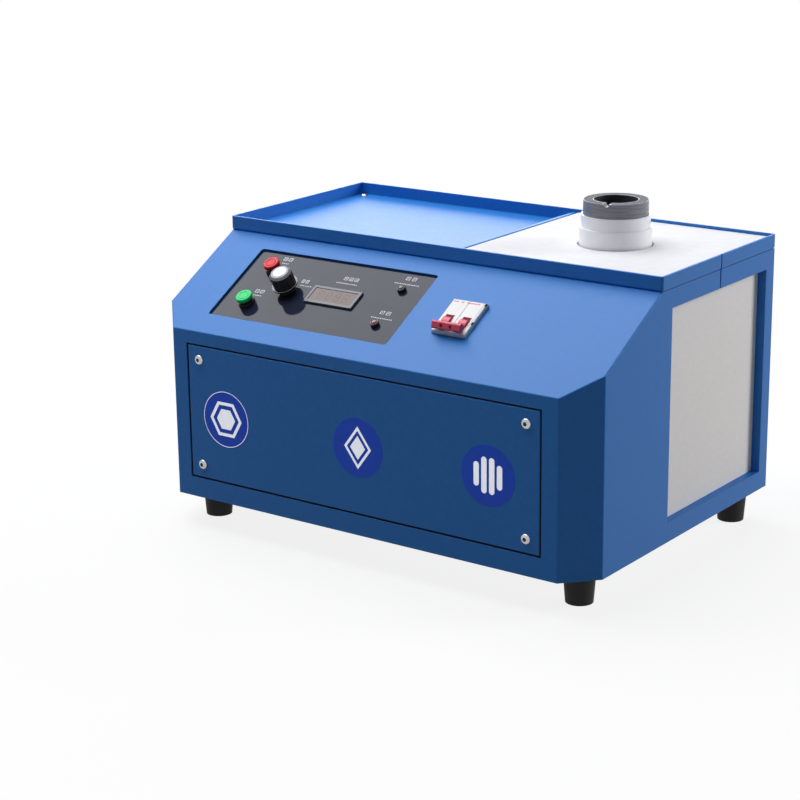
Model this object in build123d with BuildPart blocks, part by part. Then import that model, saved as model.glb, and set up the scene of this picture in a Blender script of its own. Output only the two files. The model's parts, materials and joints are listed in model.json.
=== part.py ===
from build123d import *
import math
import os

os.makedirs("parts", exist_ok=True)

# A table-top induction furnace that melts gold in a graphite crucible.
# Millimetres, +Z up, the front towards -Y. The origin lies on the floor under the middle of the machine.
# Heights called "up" in the comments are measured from the cabinet's lower edge.

# Folded steel cabinet
BODY_WIDTH = 480.0
BODY_DEPTH = 331.0
BODY_HEIGHT = 232.0
FRONT_FACE_HEIGHT = 163.0
SLOPE_RUN = 121.0
CORNER_ALONG_X = 27.0
CORNER_ALONG_Y = 29.5
SHEET = 2.0
FOLD_RADIUS = 1.5
FIT = 0.3
TOP_FLANGE = 16.0
REAR_FLANGE = 14.0
PAN_RIM = 12.0

# Window in the right wall, with its folded return, and the insulating board behind it
WINDOW_FROM_FRONT = 139.8
WINDOW_SILL = 18.0
WINDOW_RETURN = 8.6
SIDE_BOARD_LAP = 8.0
SIDE_BOARD_THICKNESS = 8.0
SIDE_BOARD_TOP_GAP = 7.3
SIDE_BOARD_REAR_GAP = 3.2

# Vent slots in the left wall
VENT_SLOT_LENGTH = 62.0
VENT_SLOT_WIDTH = 4.0
VENT_PITCH_Y = 76.0
VENT_PITCH_Z = 12.0
VENT_COLUMNS = 2
VENT_ROWS = 6
VENT_FROM_FRONT = 200.0
VENT_UP = 70.0

# Screwed panel in the front face
PANEL_SIDE_MARGIN = 18.0
PANEL_HEIGHT = 128.0
PANEL_UP = 85.0
PANEL_GAP = 1.8
PANEL_EDGE = 0.8
LANDING_OUTSIDE = 9.0
LANDING_INSIDE = 18.0
PANEL_SCREW_INSET_X = 13.5
PANEL_SCREW_INSET_Z = 12.75
PANEL_SCREW_HEAD_RADIUS = 4.75
PANEL_SCREW_HEAD_HEIGHT = 2.6
PANEL_SCREW_DOME = 1.7
PANEL_SCREW_RADIUS = 2.5
PANEL_SCREW_SOCKET = 1.6
SCREW_CLEARANCE = 0.2

# Rubber feet
FOOT_HEIGHT = 33.0
FOOT_TOP_RADIUS = 15.0
FOOT_BOTTOM_RADIUS = 12.5
FRONT_FOOT_FROM_SIDE = 34.0
FRONT_FOOT_FROM_FRONT = 48.0
REAR_FOOT_FROM_SIDE = 27.0
REAR_FOOT_FROM_REAR = 18.0
FOOT_SCREW_RADIUS = 2.5
FOOT_SCREW_HEAD_RADIUS = 5.0
FOOT_SCREW_HEAD_HEIGHT = 3.0
FOOT_SCREW_SEAT = 22.0

# Top tray, its divider and the insulating board beside it
RIM_HEIGHT = 13.8
RIM_OVERHANG = 0.6
RIM_CORNER = 2.5
RIM_BEND = 2.2
RIM_EDGE = 0.5
TRAY_SHEET = 2.0
DIVIDER_FROM_RIGHT = 216.6
DIVIDER_WIDTH = 5.0
DIVIDER_DROP = 3.0
DIVIDER_SHEET = 1.5
DIVIDER_FOLD = 1.0
BOARD_DROP = 2.8
BOARD_SIDE_GAP = 3.0
BOARD_GAP = 0.8
LEDGE = 10.0
SLIT_WIDTH = 1.8
TRAY_SCREW_INSET = 9.0
TRAY_SCREW_RADIUS = 2.0
TRAY_SCREW_HEAD_RADIUS = 3.9
TRAY_SCREW_HEAD_HEIGHT = 2.2

# Furnace: graphite crucible in a white ceramic cup, in a refractory lining, with the coil round it
FURNACE_FROM_RIGHT = 108.7
FURNACE_FROM_REAR = 105.0
HOLE_RADIUS = 35.3
LINING_RADIUS = 33.5
LINING_WALL = 1.4
LINING_RISE = 16.5
LINING_FOOT = 96.0
CUP_WALL = 1.6
CUP_RISE = 28.0
CUP_FLOOR = 4.0
CUP_CORNER = 3.0
CRUCIBLE_RADIUS = 30.0
CRUCIBLE_BORE_RADIUS = 20.5
CRUCIBLE_HEIGHT = 115.0
CRUCIBLE_FLOOR = 14.0
CRUCIBLE_RISE = 13.4
CRUCIBLE_CORNER = 4.0
LIP_NOTCH_RADIUS = 2.6
LIP_NOTCH_ANGLE = 13.0
CUP_SLACK = 0.3
BRICK_SIZE = 120.0
BRICK_COUNT = 2
BRICK_JOINT = 0.3

# Induction coil of square copper tube, and the capacitor clamped between its leads
COIL_TUBE = 8.0
COIL_TURNS = 5.5
COIL_PITCH = 10.8
COIL_SLACK = 0.5
COIL_START_RISE = 8.0
COIL_POINTS = 12
BRAZE_GAP = 0.25
CLAMP_PLATE = 3.0
CAPACITOR_DEPTH = 34.0
CAPACITOR_GAP = 3.0
CAPACITOR_HEIGHT = 68.0

# Glossy control plate behind the cut-out of the sloping face
PLATE_WIDTH = 207.0
PLATE_LENGTH = 94.5
PLATE_FROM_LEFT = 155.8
PLATE_ALONG = 72.2
PLATE_CORNER = 3.0
PLATE_LAP = 8.0
PLATE_THICKNESS = 3.0

# What stands on the control plate
ROW_LOW = 48.2
ROW_MIDDLE = 72.3
ROW_HIGH = 95.6
METER_FROM_PLATE = 13.2
METER_WIDTH = 55.0
METER_LENGTH = 22.5
METER_RISE = 2.0
METER_FRAME = 3.0
METER_LENS_THICKNESS = 1.5
METER_LENS_DROP = 0.3
METER_LENS_SLACK = 0.1
METER_BODY_WIDTH = 50.0
METER_BODY_LENGTH = 18.0
METER_BODY_DEPTH = 20.0
METER_CORNER = 0.8
KNOB_FROM_PLATE = -40.9
KNOB_RADIUS = 10.8
KNOB_RING_RADIUS = 12.5
KNOB_RING_THICKNESS = 1.4
KNOB_NECK_RADIUS = 8.2
KNOB_NECK_TOP = 7.0
KNOB_FLOAT = 0.6
KNOB_HEIGHT = 20.6
KNOB_CAP_RADIUS = 10.6
KNOB_CAP_THICKNESS = 2.4
KNOB_CAP_BEVEL = 2.0
KNOB_FLUTES = 12
KNOB_FLUTE_RADIUS = 1.5
KNOB_FLUTE_BITE = 0.7
KNOB_RECESS_RADIUS = 6.6
KNOB_RECESS_TOP = 3.2
SHAFT_RADIUS = 3.0
SHAFT_SLACK = 0.1
SHAFT_TOP = 16.5
POT_BUSH_RADIUS = 4.5
POT_NUT_RADIUS = 5.9
POT_NUT_THICKNESS = 1.6
POT_BODY_RADIUS = 8.5
POT_BODY_DEPTH = 11.0
POT_SHAFT_DEPTH = 6.0
BUTTON_FROM_PLATE = -73.2
BUTTON_RADIUS = 8.0
BUTTON_HEAD = 3.6
BUTTON_TOP = 10.1
BUTTON_EDGE = 0.8
BUTTON_TRAVEL = 2.5
COLLAR_RADIUS = 8.2
PLUNGER_RADIUS = 5.6
PLUNGER_DEPTH = 6.0
SWITCH_THREAD_RADIUS = 7.0
SWITCH_NUT_RADIUS = 9.0
SWITCH_NUT_THICKNESS = 2.0
SWITCH_BODY = 15.0
SWITCH_BODY_DEPTH = 20.0
LAMP_FROM_PLATE = 76.4
LAMP_RADIUS = 4.2
LAMP_FLANGE = 3.8
LAMP_EDGE = 0.6
LAMP_LENS_RADIUS = 2.8
LAMP_LENS_RISE = 1.2
LAMP_BODY_RADIUS = 3.4
LAMP_BODY_DEPTH = 14.0
CONTROL_BOARD_LENGTH = 70.0
CONTROL_BOARD_DEPTH = 30.0
BOARD_COPPER = 1.6
STANDOFF_RADIUS = 3.0
STANDOFF_INSET = 5.0
STANDOFF_GAP = 1.6

# Two-pole circuit breaker in the sloping face
BREAKER_FROM_PLATE = 157.1
BREAKER_ALONG = 69.7
BREAKER_WIDTH = 36.0
BREAKER_NOSE = 42.0
BREAKER_RISE = 4.0
BREAKER_SHOULDER = 13.0
BREAKER_LENGTH = 81.0
BREAKER_DEPTH = 61.0
BREAKER_EDGE = 0.8
BREAKER_GAP = 0.5
POLE_PITCH = 18.0
POLE_GROOVE = 0.5
TOGGLE_PIVOT_DOWN = 7.5
TOGGLE_PIVOT_DEPTH = 4.0
TOGGLE_DRUM_RADIUS = 6.5
TOGGLE_DRUM_WIDTH = 8.0
TOGGLE_SLOT_SLACK = 0.4
TOGGLE_SLOT_LENGTH = 16.0
TOGGLE_ARM = 14.2
TOGGLE_ARM_THICKNESS = 3.0
TOGGLE_REST_ANGLE = 50.7
TOGGLE_BAR_LENGTH = 30.0
TOGGLE_BAR_THICKNESS = 7.5
TOGGLE_BAR_DEPTH = 5.0
TOGGLE_BAR_ROUND = 1.8
TOGGLE_DIMPLE_RADIUS = 1.6
TOGGLE_DIMPLE_DEPTH = 2.2
TOGGLE_DIMPLE_PITCH = 10.0
RAIL_WIDTH = 35.0
RAIL_DEPTH = 7.5
RAIL_SHEET = 1.0
RAIL_CROWN = 27.0
BRACKET_INSIDE = 54.0
BRACKET_WIDTH = 50.0
BRACKET_SHEET = 2.0

# Rear panel: fan, water spigots, cable gland, earth stud
REAR_SCREW_INSET = 7.0
REAR_SCREW_ROWS = 3
FAN_FROM_LEFT = 110.0
FAN_UP = 84.0
FAN_SIZE = 119.5
FAN_DEPTH = 25.0
FAN_BORE_RADIUS = 57.5
FAN_CORNER = 6.0
FAN_HOLE_PITCH = 105.0
FAN_HOLE_RADIUS = 2.2
FAN_HUB_RADIUS = 20.0
FAN_STATOR_THICKNESS = 4.0
FAN_STRUT_WIDTH = 5.0
FAN_STRUTS = 4
FAN_BLADES = 7
FAN_BLADE_RADIUS = 55.0
FAN_BLADE_CHORD = 22.0
FAN_BLADE_THICKNESS = 1.8
FAN_ROOT_PITCH = 48.0
FAN_TIP_PITCH = 30.0
FAN_SHAFT_RADIUS = 2.5
FAN_SHAFT_SLACK = 0.1
FAN_HUB_GAP = 0.5
GUARD_THICKNESS = 2.0
GUARD_WIRE = 2.2
GUARD_RINGS = 4
GUARD_FIRST_RADIUS = 14.0
GUARD_STEP = 13.0
GUARD_EYE_RADIUS = 4.5
FAN_SCREW_HEAD_RADIUS = 3.8
FAN_SCREW_HEAD_HEIGHT = 2.2
SPIGOT_RADIUS = 5.0
SPIGOT_LENGTH = 24.0
SPIGOT_BORE_RADIUS = 3.0
SPIGOT_FLANGE_RADIUS = 9.0
SPIGOT_FLANGE = 4.0
SPIGOT_THREAD_RADIUS = 6.5
SPIGOT_NUT_THICKNESS = 4.0
SPIGOT_INSIDE = 12.0
GLAND_FROM_PARTITION = 52.0
GLAND_UP = 45.0
GLAND_BORE_RADIUS = 5.0
GLAND_THREAD_RADIUS = 10.0
GLAND_HEX_RADIUS = 13.0
GLAND_HEX = 6.0
GLAND_DOME_RADIUS = 11.0
GLAND_DOME = 14.0
GLAND_NUT_THICKNESS = 5.0
GLAND_NUT_GAP = 0.2
STUD_FROM_GLAND = 32.0
STUD_UP = 45.0
STUD_RADIUS = 3.0
STUD_REACH = 14.0
STUD_NUT_RADIUS = 5.8
STUD_NUT_THICKNESS = 5.0

# Inverter on the cabinet's floor
SINK_WIDTH = 150.0
SINK_LENGTH = 110.0
SINK_BASE = 8.0
SINK_FIN_HEIGHT = 36.0
SINK_FIN_THICKNESS = 2.5
SINK_FINS = 13
SINK_FROM_FAN = 12.0
MODULE_WIDTH = 34.0
MODULE_LENGTH = 90.0
MODULE_HEIGHT = 14.0
MODULE_COUNT = 3
MODULE_PITCH = 46.0
CAN_RADIUS = 17.5
CAN_HEIGHT = 48.0
CAN_PITCH = 44.0
CAN_COUNT = 3
CHOKE_FROM_FAN = 90.0
CHOKE_FROM_FRONT = 72.0
CHOKE_RADIUS = 45.0
CHOKE_HOLE_RADIUS = 18.0
CHOKE_HEIGHT = 38.0
CHOKE_ROUND = 8.0
CHOKE_CLAMP_RADIUS = 26.0
CHOKE_CLAMP_THICKNESS = 2.0
CHOKE_BOLT_RADIUS = 4.0
CHOKE_BOLT_HEAD = 5.0
PARTITION_FROM_FURNACE = 87.3
PARTITION_THICKNESS = 8.0
PARTITION_FROM_FRONT = 132.0

# Places worked out from the sizes above
WINDOW_WIDTH = BODY_DEPTH - WINDOW_FROM_FRONT - SIDE_BOARD_LAP - 2 * SHEET - SIDE_BOARD_REAR_GAP
WINDOW_HEIGHT = BODY_HEIGHT - WINDOW_SILL - SIDE_BOARD_LAP - SHEET - SIDE_BOARD_TOP_GAP
PANEL_WIDTH = BODY_WIDTH - 2 * CORNER_ALONG_X - 2 * PANEL_SIDE_MARGIN
FURNACE_X = BODY_WIDTH / 2 - FURNACE_FROM_RIGHT
DIVIDER_X = BODY_WIDTH / 2 - DIVIDER_FROM_RIGHT
PARTITION_X = FURNACE_X - PARTITION_FROM_FURNACE
PLATE_X = PLATE_FROM_LEFT - BODY_WIDTH / 2
METER_X = PLATE_X + METER_FROM_PLATE
KNOB_X = PLATE_X + KNOB_FROM_PLATE
BUTTON_X = PLATE_X + BUTTON_FROM_PLATE
LAMP_X = PLATE_X + LAMP_FROM_PLATE
STANDOFF_FROM_PLATE = SWITCH_NUT_RADIUS + STANDOFF_GAP + STANDOFF_RADIUS - BUTTON_FROM_PLATE
CONTROL_BOARD_WIDTH = 2 * (STANDOFF_FROM_PLATE + STANDOFF_INSET)
BREAKER_X = PLATE_X + BREAKER_FROM_PLATE
FAN_X = FAN_FROM_LEFT - BODY_WIDTH / 2
GLAND_X = PARTITION_X - GLAND_FROM_PARTITION
STUD_X = GLAND_X + STUD_FROM_GLAND
CHOKE_X = FAN_X + CHOKE_FROM_FAN
FRONT_REACH = PANEL_SCREW_HEAD_HEIGHT
REAR_REACH = SPIGOT_FLANGE + SPIGOT_LENGTH
FRONT_Y = -(BODY_DEPTH + FRONT_REACH + REAR_REACH) / 2 + FRONT_REACH
REAR_Y = FRONT_Y + BODY_DEPTH
BODY_BOTTOM = FOOT_HEIGHT
BREAK_Z = BODY_BOTTOM + FRONT_FACE_HEIGHT
SHELL_TOP = BODY_BOTTOM + BODY_HEIGHT
SLOPE_TOP_Y = FRONT_Y + SLOPE_RUN
SLOPE_RISE = BODY_HEIGHT - FRONT_FACE_HEIGHT
SLOPE_ANGLE = math.degrees(math.atan2(SLOPE_RISE, SLOPE_RUN))
SLOPE_NORMAL = (0.0, -math.sin(math.radians(SLOPE_ANGLE)), math.cos(math.radians(SLOPE_ANGLE)))
RIM_TOP = SHELL_TOP + RIM_HEIGHT
BOARD_TOP = RIM_TOP - BOARD_DROP
FURNACE_Y = REAR_Y - FURNACE_FROM_REAR
PAN_TOP = BODY_BOTTOM + SHEET
INSIDE_REAR_Y = REAR_Y - SHEET
LINING_BOTTOM = BOARD_TOP - LINING_FOOT
CRUCIBLE_TOP = BOARD_TOP + CUP_RISE + CRUCIBLE_RISE
CRUCIBLE_BOTTOM = CRUCIBLE_TOP - CRUCIBLE_HEIGHT
CUP_BOTTOM = CRUCIBLE_BOTTOM - CUP_FLOOR
CUP_BORE_RADIUS = CRUCIBLE_RADIUS + CUP_SLACK
CUP_RADIUS = CUP_BORE_RADIUS + CUP_WALL
COIL_RADIUS = LINING_RADIUS + COIL_SLACK + COIL_TUBE / 2
COIL_START_Z = LINING_BOTTOM + COIL_START_RISE
COIL_END_Z = COIL_START_Z + COIL_TURNS * COIL_PITCH
LEAD_END_Y = INSIDE_REAR_Y - SPIGOT_INSIDE
SOCKET_DEPTH = PANEL_SCREW_HEAD_HEIGHT / 2

# Working planes
FRONT = Plane(origin=(0, FRONT_Y, BODY_BOTTOM), x_dir=(1, 0, 0), z_dir=(0, -1, 0))
RIGHT = Plane(origin=(BODY_WIDTH / 2, FRONT_Y, BODY_BOTTOM), x_dir=(0, 1, 0), z_dir=(1, 0, 0))
LEFT = Plane(origin=(-BODY_WIDTH / 2, FRONT_Y, BODY_BOTTOM), x_dir=(0, 1, 0), z_dir=(1, 0, 0))
REAR = Plane(origin=(0, REAR_Y, BODY_BOTTOM), x_dir=(1, 0, 0), z_dir=(0, -1, 0))
SLOPE = Plane(origin=(0, FRONT_Y, BREAK_Z), x_dir=(1, 0, 0), z_dir=SLOPE_NORMAL)
PLATE = SLOPE.offset(-SHEET)
OUT_OF_SLOPE = Axis(SLOPE.origin, SLOPE.z_dir)

FOOT_SPOTS = [
    (side * (BODY_WIDTH / 2 - from_side), y)
    for side in (-1, 1)
    for from_side, y in (
        (FRONT_FOOT_FROM_SIDE, FRONT_Y + FRONT_FOOT_FROM_FRONT),
        (REAR_FOOT_FROM_SIDE, REAR_Y - REAR_FOOT_FROM_REAR),
    )
]
PANEL_SCREW_SPOTS = [
    (
        x * (PANEL_WIDTH / 2 - PANEL_SCREW_INSET_X),
        PANEL_UP + z * (PANEL_HEIGHT / 2 - PANEL_SCREW_INSET_Z),
    )
    for x in (-1, 1)
    for z in (-1, 1)
]


def plan_points():
    """Corners of the cabinet seen from above, with both front corners cut off."""
    side = BODY_WIDTH / 2
    return [
        (-side, REAR_Y),
        (-side, FRONT_Y + CORNER_ALONG_Y),
        (-side + CORNER_ALONG_X, FRONT_Y),
        (side - CORNER_ALONG_X, FRONT_Y),
        (side, FRONT_Y + CORNER_ALONG_Y),
        (side, REAR_Y),
    ]


def is_outer_corner(edge):
    """Whether an upright edge is one of the outer corners at the front of the cabinet."""
    middle = edge.center()
    return any(math.dist((middle.X, middle.Y), corner) < FIT for corner in plan_points()[1:5])


# Cabinet: one folded sheet with the sloping face, open below, behind and on top
with BuildPart() as cabinet_shell:
    with BuildSketch(Plane.XY.offset(BODY_BOTTOM)):
        with BuildLine():
            Polyline(*plan_points(), close=True)
        make_face()
    extrude(amount=BODY_HEIGHT)
    with BuildSketch(Plane.YZ.offset(-BODY_WIDTH / 2)):
        with BuildLine():
            Polyline((FRONT_Y, BREAK_Z), (SLOPE_TOP_Y, SHELL_TOP), (FRONT_Y, SHELL_TOP), close=True)
        make_face()
    extrude(amount=BODY_WIDTH, mode=Mode.SUBTRACT)
    open_sides = [
        cabinet_shell.faces().sort_by(Axis.Z)[0],
        cabinet_shell.faces().sort_by(Axis.Z)[-1],
        cabinet_shell.faces().sort_by(Axis.Y)[-1],
    ]
    offset(amount=-SHEET, openings=open_sides)
    # rounded folds: the sloping face's outline, except under the tray, and the upright corners
    slope_face = cabinet_shell.faces().sort_by(OUT_OF_SLOPE)[-1]
    fold_edges = slope_face.outer_wire().edges().sort_by(Axis.Z)[:-1]
    outer_corners = cabinet_shell.edges().filter_by(Axis.Z).filter_by(is_outer_corner)
    fillet(fold_edges + outer_corners, FOLD_RADIUS)
    # flange under the tray, all round the flat top
    with BuildSketch(Plane.XY.offset(SHELL_TOP - SHEET)):
        with Locations((0, (SLOPE_TOP_Y + REAR_Y) / 2)):
            Rectangle(BODY_WIDTH, REAR_Y - SLOPE_TOP_Y)
            Rectangle(
                BODY_WIDTH - 2 * TOP_FLANGE,
                REAR_Y - SLOPE_TOP_Y - 2 * TOP_FLANGE,
                mode=Mode.SUBTRACT,
            )
    extrude(amount=SHEET)
    # flanges that carry the rear panel's sides
    with BuildSketch(REAR.offset(SHEET)):
        for side in (-1, 1):
            with Locations((side * (BODY_WIDTH - REAR_FLANGE) / 2, (PAN_RIM + BODY_HEIGHT) / 2 + FIT)):
                Rectangle(REAR_FLANGE, BODY_HEIGHT - PAN_RIM - 2 * FIT)
    extrude(amount=SHEET)
    # front opening, and the landing behind it for the screwed panel
    with BuildSketch(FRONT):
        with Locations((0, PANEL_UP)):
            Rectangle(PANEL_WIDTH + 2 * PANEL_GAP, PANEL_HEIGHT + 2 * PANEL_GAP)
    extrude(amount=-SHEET, mode=Mode.SUBTRACT)
    with BuildSketch(FRONT.offset(-SHEET)):
        with Locations((0, PANEL_UP)):
            Rectangle(PANEL_WIDTH + 2 * LANDING_OUTSIDE, PANEL_HEIGHT + 2 * LANDING_OUTSIDE)
            Rectangle(
                PANEL_WIDTH - 2 * LANDING_INSIDE,
                PANEL_HEIGHT - 2 * LANDING_INSIDE,
                mode=Mode.SUBTRACT,
            )
    extrude(amount=-SHEET)
    # cut-outs of the sloping face
    with BuildSketch(SLOPE):
        with Locations((PLATE_X, PLATE_ALONG)):
            RectangleRounded(PLATE_WIDTH, PLATE_LENGTH, PLATE_CORNER)
        with Locations((BREAKER_X, BREAKER_ALONG)):
            Rectangle(BREAKER_WIDTH + 2 * BREAKER_GAP, BREAKER_NOSE + 2 * BREAKER_GAP)
    extrude(amount=-2 * SHEET, mode=Mode.SUBTRACT)
    # side window with its folded return
    window_place = (WINDOW_FROM_FRONT + WINDOW_WIDTH / 2, WINDOW_SILL + WINDOW_HEIGHT / 2)
    with BuildSketch(RIGHT):
        with Locations(window_place):
            Rectangle(WINDOW_WIDTH + 2 * SHEET, WINDOW_HEIGHT + 2 * SHEET)
    extrude(amount=-WINDOW_RETURN)
    with BuildSketch(RIGHT):
        with Locations(window_place):
            Rectangle(WINDOW_WIDTH, WINDOW_HEIGHT)
    extrude(amount=-WINDOW_RETURN, mode=Mode.SUBTRACT)
    # slit that keeps the rail over the window from closing a loop round the coil's field
    with BuildSketch(RIGHT):
        with Locations((FURNACE_Y - FRONT_Y, (WINDOW_SILL + WINDOW_HEIGHT + BODY_HEIGHT) / 2)):
            Rectangle(SLIT_WIDTH, BODY_HEIGHT - WINDOW_SILL - WINDOW_HEIGHT)
    extrude(amount=-TOP_FLANGE, mode=Mode.SUBTRACT)
    # vent slots in the left wall
    with BuildSketch(LEFT):
        with Locations((VENT_FROM_FRONT, VENT_UP)):
            with GridLocations(VENT_PITCH_Y, VENT_PITCH_Z, VENT_COLUMNS, VENT_ROWS):
                SlotOverall(VENT_SLOT_LENGTH, VENT_SLOT_WIDTH)
    extrude(amount=SHEET, mode=Mode.SUBTRACT)
cabinet_shell.part.label = "cabinet_shell"
export_step(cabinet_shell.part, "parts/cabinet_shell.step")

# Floor pan between the cabinet's walls, with its edges turned up
with BuildPart() as base_plate:
    with BuildSketch(Plane.XY.offset(BODY_BOTTOM)):
        with BuildLine():
            Polyline(*plan_points(), close=True)
        make_face()
        offset(amount=-SHEET - FIT, kind=Kind.INTERSECTION, mode=Mode.REPLACE)
    extrude(amount=PAN_RIM)
    pan_inside = base_plate.faces().sort_by(Axis.Z)[-1]
    offset(amount=-SHEET, openings=[pan_inside])
    with Locations(*[(x, y, PAN_TOP) for x, y in FOOT_SPOTS]):
        Hole(FOOT_SCREW_RADIUS + SCREW_CLEARANCE, depth=SHEET)
base_plate.part.label = "base_plate"
export_step(base_plate.part, "parts/base_plate.step")

# Rear panel, set in flush between the side walls
REAR_PANEL_WIDTH = BODY_WIDTH - 2 * SHEET - 2 * FIT
REAR_PANEL_BOTTOM = FIT
REAR_PANEL_TOP = BODY_HEIGHT - SHEET - FIT
REAR_SCREW_PITCH = (REAR_PANEL_TOP - PAN_RIM - 2 * REAR_SCREW_INSET) / (REAR_SCREW_ROWS - 1)
REAR_SCREW_SPOTS = [
    (
        side * (BODY_WIDTH / 2 - SHEET - REAR_SCREW_INSET),
        PAN_RIM + REAR_SCREW_INSET + row * REAR_SCREW_PITCH,
    )
    for side in (-1, 1)
    for row in range(REAR_SCREW_ROWS)
]
SPIGOT_SPOTS = [
    (FURNACE_X - COIL_RADIUS, COIL_START_Z - BODY_BOTTOM),
    (FURNACE_X + COIL_RADIUS, COIL_END_Z - BODY_BOTTOM),
]
with BuildPart() as rear_panel:
    with BuildSketch(REAR):
        with Locations((0, (REAR_PANEL_BOTTOM + REAR_PANEL_TOP) / 2)):
            Rectangle(REAR_PANEL_WIDTH, REAR_PANEL_TOP - REAR_PANEL_BOTTOM)
        with Locations((FAN_X, FAN_UP)):
            Circle(FAN_BORE_RADIUS, mode=Mode.SUBTRACT)
            with GridLocations(FAN_HOLE_PITCH, FAN_HOLE_PITCH, 2, 2):
                Circle(FAN_HOLE_RADIUS, mode=Mode.SUBTRACT)
        with Locations(*SPIGOT_SPOTS):
            Circle(SPIGOT_THREAD_RADIUS + SCREW_CLEARANCE, mode=Mode.SUBTRACT)
        with Locations((GLAND_X, GLAND_UP)):
            Circle(GLAND_THREAD_RADIUS + SCREW_CLEARANCE, mode=Mode.SUBTRACT)
        with Locations((STUD_X, STUD_UP)):
            Circle(STUD_RADIUS + SCREW_CLEARANCE, mode=Mode.SUBTRACT)
        with Locations(*REAR_SCREW_SPOTS):
            Circle(TRAY_SCREW_RADIUS + SCREW_CLEARANCE, mode=Mode.SUBTRACT)
    extrude(amount=SHEET)
rear_panel.part.label = "rear_panel"
export_step(rear_panel.part, "parts/rear_panel.step")

with BuildPart() as rear_screws:
    with BuildSketch(REAR):
        with Locations(*REAR_SCREW_SPOTS):
            Circle(TRAY_SCREW_HEAD_RADIUS)
    extrude(amount=-TRAY_SCREW_HEAD_HEIGHT)
    chamfer(rear_screws.faces().sort_by(Axis.Y)[-2 * REAR_SCREW_ROWS:].edges(), TRAY_SCREW_HEAD_HEIGHT / 3)
    with BuildSketch(REAR):
        with Locations(*REAR_SCREW_SPOTS):
            Circle(TRAY_SCREW_RADIUS)
    extrude(amount=SHEET)
rear_screws.part.label = "rear_screws"
export_step(rear_screws.part, "parts/rear_screws.step")

# Front panel and its four button-head screws
with BuildPart() as front_panel:
    with BuildSketch(FRONT):
        with Locations((0, PANEL_UP)):
            Rectangle(PANEL_WIDTH, PANEL_HEIGHT)
        with Locations(*PANEL_SCREW_SPOTS):
            Circle(PANEL_SCREW_RADIUS + SCREW_CLEARANCE, mode=Mode.SUBTRACT)
    extrude(amount=-SHEET)
    fillet(front_panel.faces().sort_by(Axis.Y)[0].outer_wire().edges(), PANEL_EDGE)
front_panel.part.label = "front_panel"
export_step(front_panel.part, "parts/front_panel.step")

with BuildPart() as front_panel_screws:
    with BuildSketch(FRONT):
        with Locations(*PANEL_SCREW_SPOTS):
            Circle(PANEL_SCREW_HEAD_RADIUS)
    extrude(amount=PANEL_SCREW_HEAD_HEIGHT)
    chamfer(front_panel_screws.faces().sort_by(Axis.Y)[:4].edges(), PANEL_SCREW_DOME)
    with BuildSketch(FRONT.offset(PANEL_SCREW_HEAD_HEIGHT)):
        with Locations(*PANEL_SCREW_SPOTS):
            RegularPolygon(PANEL_SCREW_SOCKET, 6)
    extrude(amount=-SOCKET_DEPTH, mode=Mode.SUBTRACT)
    with BuildSketch(FRONT):
        with Locations(*PANEL_SCREW_SPOTS):
            Circle(PANEL_SCREW_RADIUS)
    extrude(amount=-SHEET)
front_panel_screws.part.label = "front_panel_screws"
export_step(front_panel_screws.part, "parts/front_panel_screws.step")

# Four tapered rubber feet, each with the screw that holds it sunk in its hole
with BuildPart() as rubber_feet:
    with BuildSketch(Plane.XY):
        with Locations(*FOOT_SPOTS):
            Circle(FOOT_BOTTOM_RADIUS)
    foot_taper = math.degrees(math.atan2(FOOT_TOP_RADIUS - FOOT_BOTTOM_RADIUS, FOOT_HEIGHT))
    extrude(amount=FOOT_HEIGHT, taper=-foot_taper)
    with Locations(*[Location((x, y, 0), (180, 0, 0)) for x, y in FOOT_SPOTS]):
        CounterBoreHole(
            radius=FOOT_SCREW_RADIUS + SCREW_CLEARANCE,
            counter_bore_radius=FOOT_SCREW_HEAD_RADIUS + SCREW_CLEARANCE,
            counter_bore_depth=FOOT_SCREW_SEAT,
            depth=FOOT_HEIGHT,
        )
rubber_feet.part.label = "rubber_feet"
export_step(rubber_feet.part, "parts/rubber_feet.step")

with BuildPart() as foot_screws:
    with BuildSketch(Plane.XY.offset(FOOT_SCREW_SEAT - FOOT_SCREW_HEAD_HEIGHT)):
        with Locations(*FOOT_SPOTS):
            Circle(FOOT_SCREW_HEAD_RADIUS)
    extrude(amount=FOOT_SCREW_HEAD_HEIGHT)
    with BuildSketch(Plane.XY.offset(FOOT_SCREW_SEAT)):
        with Locations(*FOOT_SPOTS):
            Circle(FOOT_SCREW_RADIUS)
    extrude(amount=PAN_TOP + SHEET - FOOT_SCREW_SEAT)
foot_screws.part.label = "foot_screws"
export_step(foot_screws.part, "parts/foot_screws.step")

# Tray that caps the cabinet: a rim all round, a floor on the left, a ledge for the board on the right
TRAY_WIDTH = BODY_WIDTH + 2 * RIM_OVERHANG
TRAY_DEPTH = REAR_Y - SLOPE_TOP_Y + 2 * RIM_OVERHANG
TRAY_MIDDLE_Y = (REAR_Y + SLOPE_TOP_Y) / 2
WELL_HALF = TRAY_WIDTH / 2 - TRAY_SHEET
WELL_DEPTH_Y = TRAY_DEPTH - 2 * TRAY_SHEET
LEDGE_LEFT = DIVIDER_X + DIVIDER_WIDTH / 2 + LEDGE
LEDGE_RIGHT = WELL_HALF - LEDGE
TRAY_FLOOR = SHELL_TOP + TRAY_SHEET
TRAY_SCREW_SPOTS = [
    (x, TRAY_MIDDLE_Y + side * (WELL_DEPTH_Y / 2 - TRAY_SCREW_INSET))
    for x in (-WELL_HALF + TRAY_SCREW_INSET, DIVIDER_X - DIVIDER_WIDTH / 2 - TRAY_SCREW_INSET)
    for side in (-1, 1)
]
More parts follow.
